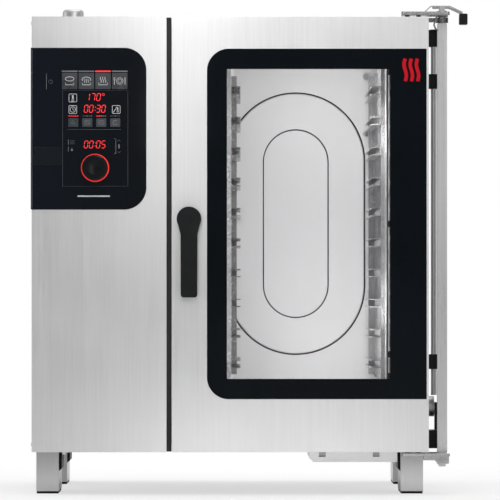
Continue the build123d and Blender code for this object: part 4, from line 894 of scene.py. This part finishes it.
def build_side_hardware():
    """Domed heads and pivot cap on the arms, clamp and bracket screws, the roller's tread and hub."""
    swing, fixed, dark, tread = meshes(4)
    dome = [(6.5, 0), (6.5, 0.8), (4, 1.5), (0, 1.6)]
    for x in (832, 857):
        add_lathe(swing, dome, at(x, -35, 1070), UP, 24)
        add_lathe(swing, dome, at(x, -35, 85.5), DOWN, 24)
    add_lathe(swing, [(12.5, 0), (12.5, 3), (10.5, 4), (0, 4)], at(PIVOT_X, PIVOT_Y, 1069.9))
    add_hex(fixed, at(PIVOT_X, PIVOT_Y, 67.2), DOWN, 16, 7, 12)
    for y, z in ((48, 1030), (48, 1016), (80, 92), (80, 204), (58, 92)):
        add_screw(fixed, at(878, y, z), RIGHT, 4)
    for z in (284, 302, 910, 929):
        add_screw(dark, at(888, 27, z), FRONT, 2.6)
    low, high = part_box("side_roller")
    middle = (low + high) / 2
    reach = (high.x - low.x) / MM
    profile = [(22.4, 0), (23.3, 0.3)]
    profile += [(radius, reach * share) for radius, share in ((23.3, 0.12), (23.1, 0.16), (23.1, 0.8),
                                                              (23.3, 0.84), (23.3, 0.95), (22.4, 0.97))]
    add_lathe(tread, profile, (low.x + reach * 0.02 * MM, middle.y, middle.z), RIGHT, 56)
    add_lathe(tread, [(9, 0), (9, 1.2), (7, 2), (0, 2)], (high.x - 0.2 * MM, middle.y, middle.z), RIGHT, 28)
    piece("arm_fastenings", swing, "swing_frame", STEEL_BAR, 0.2)
    piece("clamp_screws", dark, "casing", BLACK, 0.2)
    piece("bracket_fastenings", fixed, "casing", POLISHED, 0.3)
    piece("roller_bands", tread, "roller", STEEL_DARK, 0.15)


def build_catch():
    """Catch hook under the upper arm, and the coil spring round the pivot above it."""
    hook, spring = meshes(2)
    path = ((899, 1, 1061), (895, 0, 1054), (893, 0, 1044), (896, 0, 1036), (902, 0, 1032))
    add_tube(hook, [at(*point) for point in path], 2, 10)
    turns, steps = 6, 84
    around = arc(PIVOT_X, PIVOT_Y, 10.2, 10.2, 0, 360 * turns, steps)
    add_tube(spring, [at(x, y, 1070.8 + 5 * step / steps) for step, (x, y) in enumerate(around)], 0.8, 6)
    piece("arm_catch", hook, "swing_frame", STEEL_DARK)
    piece("lever_spring", spring, "swing_frame", STEEL_DARK)


def build_lever_flange():
    """Folded front edge under the release lever's strip, open where the arm's pin passes."""
    flange = bmesh.new()
    crest = ((887.5, 1084.6), (904.5, 1084.6), (904.5, 1080), (890, 1080))
    slope = ((917.5, 1084.6), (927.6, 1084.6), (954.6, 1072.4), (954.6, 1067), (950, 1068.5), (929, 1078.5),
             (924, 1080), (917.5, 1080))
    for outline in (crest, slope):
        add_plate(flange, placed(outline), y_at(3.3), y_at(4.9))
    piece("lever_flange", flange, "release", STEEL_DARK, 0.3)


# ---------------- underside


def build_underside():
    """Black side pads on the legs, and the drip tray's clips with their rolled feet."""
    pads, clips = meshes(2)
    profile = ((0, 49), (0, 93), (3.2, 93), (6, 88), (6, 55))
    for edge, way in ((56.5, 1), (818.5, -1)):
        for y in (25, 535):
            add_skin(pads, [[at(edge + way * out, end + (taper if out else 0), z) for out, z in profile]
                            for end, taper in ((y, 6), (y + 140, -6))])
    low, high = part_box("drip_tray")
    foot, front = high.z - 9 * MM, low.y - 3 * MM
    for left in (low.x + 22 * MM, low.x + 142 * MM):
        right = left + 15 * MM
        add_plate(clips, square((left, right), (foot, high.z - 0.5 * MM)), front, low.y + 1 * MM)
        add_tube(clips, [(left, front, foot), (right, front, foot)], 1.4, 8)
    piece("leg_side_pads", pads, "casing", BLACK, 0.8)
    piece("drip_tray_clips", clips, "tray", STEEL_DARK, 0.4)


# ---------------- rear, sides and top


def add_collar(bm, radius, swell, height, place, axis, steps):
    """A round ridge on a pipe."""
    add_lathe(bm, [(radius, 0), (radius + swell, height / 2), (radius, height)], place, axis, steps)


def build_rear():
    """Inlet nuts and threads, drain collar, power lead, earth stud, louvres, blank plate, seam and screws."""
    brass, black, steel, plate = meshes(4)
    for x in (90, 150):
        add_hex(brass, at(x, 709.2, 180), BACK, 34, 5)
        for thread in range(5):
            add_collar(brass, 13.2, 0.7, 1.6, at(x, 715 + 2 * thread, 180), BACK, 32)
    add_lathe(steel, [(33, 0), (33, 2), (27, 4), (25.6, 4)], at(590, CASING_DEPTH, 150), BACK, 40)
    add_collar(steel, 25.2, 0.8, 2.4, at(590, 744, 150), BACK, 40)
    add_hex(black, at(250, 709.2, 180), BACK, 36, 8)
    add_lathe(black, [(15, 0), (15, 10), (11, 15), (9, 16)], at(250, 717, 180), BACK)
    lead = ((718, 180), (734, 179), (742, 168), (744, 140), (744, 102))
    add_tube(black, [at(250, y, z) for y, z in lead], 8, 14)
    add_lathe(steel, [(8, 0), (8, 2), (5, 2), (5, 12), (0, 12)], at(325, CASING_DEPTH, 160), BACK, 24)
    add_hex(steel, at(325, 713, 160), BACK, 10, 4)
    lip = ((-0.6, 1.5), (4, -4), (4.8, -4), (0.4, 2.4))
    for row in range(9):
        z = 786 + 18 * row
        add_skin(steel, [[(x_at(x), CASING_REAR + out * MM, (z + rise) * MM) for out, rise in lip]
                         for x in (60, 240)])
    add_plate(plate, placed(rounded((620, 720), (880, 940), 4, 4)), CASING_REAR, CASING_REAR + 0.8 * MM)
    for row in range(4):
        bar = square((628, 706 - 13 * (row % 2)), (927 - 12 * row, 929 - 12 * row))
        add_plate(plate, placed(bar), CASING_REAR + 0.8 * MM, CASING_REAR + 0.95 * MM)
    for x in (14, 230, 446, 660, 861):
        add_screws(steel, BACK, [(x, CASING_DEPTH, z) for z in (SCREW_LOW, SCREW_HIGH)])
    for z in (330, 560, 800):
        add_screws(steel, BACK, [(x, CASING_DEPTH, z) for x in (14, 861)])
    add_tube(steel, [at(430, 709.6, 98), at(430, 709.6, 1056)], 1.2, 6)
    piece("inlet_nuts", brass, "casing", BRASS, 0.4)
    piece("rear_fittings", steel, "casing", POLISHED, 0.3)
    piece("power_lead", black, "casing", RUBBER, 0.3)
    piece("plain_plate", plate, "casing", GREY_METAL, 0.2)


def build_sides_and_top():
    """Pressed louvre hoods on the left side, screws, the top's seam and the vent's collar."""
    hoods, screws, collar = meshes(3)
    profile = ((-0.2, 7.4), (-3.0, 3.2), (-3.0, 2.4), (0.6, 6.6))
    for low in (171, 233):
        for step in range(12):
            add_skin(hoods, [[at(out, 380 + 22 * step + along, z) for out, along in profile]
                             for z in (low, low + 46)])
    add_tube(hoods, [at(HOUSING_RIGHT, 4, CASING_TOP), at(HOUSING_RIGHT, 704, CASING_TOP)], 0.9, 6)
    for z in (SCREW_LOW, SCREW_HIGH):
        add_screws(screws, LEFT, [(0, y, z) for y in (-60, 170, 400, 690)])
        add_screws(screws, RIGHT, [(CASING_WIDTH, y, z) for y in (140, 330, 520, 690)])
    add_screws(screws, UP, [(x, 692, CASING_TOP) for x in (16, HOUSING_RIGHT, 580, 858)])
    add_screws(screws, UP, [(x, 16, CASING_TOP) for x in (16, 280)])
    add_lathe(collar, [(28.6, 0), (28.6, 1.2), (25.4, 3.4), (24.3, 3.4), (24.3, 2.2)],
              at(VENT_X, VENT_Y, 1059.6), UP, 48)
    for z in (1066, 1071):
        add_collar(collar, 23.9, 0.6, 1.6, at(VENT_X, VENT_Y, z), UP, 48)
    piece("casing_hoods", hoods, "casing", STEEL)
    piece("casing_screws", screws, "casing", POLISHED, 0.2)
    piece("vent_collar", collar, "casing", VENT_STEEL, 0.2)


def build_inside_the_housing():
    """Six leads between the boards and the parts behind, seen when a panel is off."""
    looms = bmesh.new()
    random.seed(LOOM_SEED)
    for index in range(6):
        start = at(30 + 30 * index, -58, 660)
        middle = at(40 + 28 * index + random.uniform(-8, 8), 200 + random.uniform(-20, 20),
                    640 + random.uniform(-30, 30))
        end = at(60 + 30 * index, 600, 715)
        add_tube(looms, [start * (1 - s) ** 2 + middle * 2 * s * (1 - s) + end * s ** 2
                         for s in (step / 20 for step in range(21))], 2.4, 8)
    piece("wiring_loom", looms, "casing", RUBBER)


# ---------------- stage, in metres

FLOOR_FADE, FLOOR_REACH = 2.6, 60.0
MIDDLE = (0.0, 0.0, 0.55)
LIGHTS = (  # name, place, aim, size, power
    ("key_right", (1.05, -2.9, 0.95), (0.0, -0.35, 0.55), (0.7, 0.9), 3.2),
    ("top_front", (-0.06, -1.55, 1.62), (-0.04, -0.35, 0.9), (0.6, 0.35), 6.5),
    ("middle_strip", (-0.18, -1.5, 0.92), (-0.18, -0.35, 0.86), (0.12, 0.7), 0.55),
    ("low_front", (0.04, -1.5, 0.04), (0.02, -0.35, 0.3), (0.7, 0.08), 0.42),
    ("top_soft", (0.0, 0.2, 3.0), MIDDLE, (2.4, 2.4), 30),
    ("left_soft", (-2.8, 0.2, 1.3), MIDDLE, (1.6, 2.0), 11),
    ("right_soft", (2.8, 0.6, 1.3), MIDDLE, (1.6, 2.0), 8),
    ("back_soft", (0.0, 3.0, 1.2), MIDDLE, (2.4, 1.6), 30),
)
CAVITY_LIGHTS = (("cavity_lamp_high", 880, 2.1), ("cavity_lamp_low", 340, 1.9))  # name, height in mm, power


def floor_material():
    """Pale floor that fades to the white of the studio away from the object."""
    s = Shader("studio_floor")
    s.set(Base_Color=s.mix(s.ramp(s.noise(1.5, 3), 0.3, 0.7), colour(0.86), colour(0.9)), Roughness=0.9,
          Specular_IOR_Level=0.1)
    white = s.add("ShaderNodeEmission", {"Strength": 1.0})
    distance = s.add("ShaderNodeVectorMath", {0: s.place}, operation="LENGTH").outputs["Value"]
    seen = s.add("ShaderNodeLightPath").outputs["Is Camera Ray"]
    share = s.math("MULTIPLY", s.ramp(distance, FLOOR_FADE * 0.3, FLOOR_FADE, 0.62, 1.0), seen)
    s.put(s.output.inputs[0], s.choose(share, s.base.outputs[0], white.outputs[0]))
    return s.material


def build_floor():
    bm = bmesh.new()
    fade, reach = FLOOR_FADE / MM, FLOOR_REACH / MM
    add_lathe(bm, [(0, 0), (fade, 0), (reach, 0), (reach, -10), (0, -10)], (0, 0, -0.0005), UP, 64)
    mesh = bpy.data.meshes.new("studio_floor")
    bm.to_mesh(mesh)
    bm.free()
    mesh.materials.append(floor_material())
    link_object("studio_floor", mesh)


def build_world():
    """White to the camera. To the object, a studio that is bright above and dim straight ahead."""
    world = bpy.data.worlds.new("studio")
    bpy.context.scene.world = world
    world.use_nodes = True
    w = Nodes(world.node_tree)
    height = w.add("ShaderNodeSeparateXYZ", {0: w.add("ShaderNodeTexCoord").outputs["Generated"]}).outputs[2]
    studio = w.add("ShaderNodeBackground", {0: WHITE, 1: w.ramp(height, -0.2, 0.9, 0.235, 0.67)})
    seen = w.add("ShaderNodeBackground", {0: WHITE, 1: 1.0})
    camera = w.add("ShaderNodeLightPath").outputs["Is Camera Ray"]
    w.add("ShaderNodeOutputWorld", {0: w.choose(camera, studio.outputs[0], seen.outputs[0])})


def put_at(name, data, place, aim):
    """A lamp or camera at a place, turned to look at another."""
    obj = link_object(name, data)
    obj.location = place
    obj.rotation_mode = "QUATERNION"
    obj.rotation_quaternion = (Vector(aim) - Vector(place)).to_track_quat("-Z", "Y")
    return obj


def area_light(name, place, aim, size, power, tone=(1, 1, 1)):
    """A soft box that the camera doesn't see."""
    data = bpy.data.lights.new(name, "AREA")
    data.shape = "RECTANGLE"
    data.size, data.size_y = size
    data.energy = power
    data.color = tone
    lamp = put_at(name, data, place, aim)
    lamp.visible_camera = False
    return lamp


def build_lights():
    for light in LIGHTS:
        area_light(*light)
    for name, z, power in CAVITY_LIGHTS:
        lamp = area_light(name, at(700, 20, z), at(560, 520, 607), (0.10, 0.2), power, (1, 0.99, 0.97))
        lamp.visible_glossy = False


def build_camera():
    """At the photo's place: level with the lower part of the oven, about ten metres away."""
    data = bpy.data.cameras.new("camera")
    data.lens = 335.6
    data.sensor_width = 36.0
    data.clip_end = 200.0
    bpy.context.scene.camera = put_at("camera", data, at(456, -10383, 449), at(482.5, -83, 541.8))


# ---------------- run

for build in (build_world, build_floor, build_lights, build_camera, dress_nodes, build_displays,
              build_key_icons, build_panel_marks, build_handle, build_door_mark, build_door_details,
              build_cavity_details, build_pressed_lines, build_probe, build_rack_details,
              build_side_hardware, build_catch, build_lever_flange, build_underside, build_rear,
              build_sides_and_top, build_inside_the_housing):
    build()

bpy.context.scene.view_settings.view_transform = "Standard"
bpy.context.scene.view_settings.look = "None"
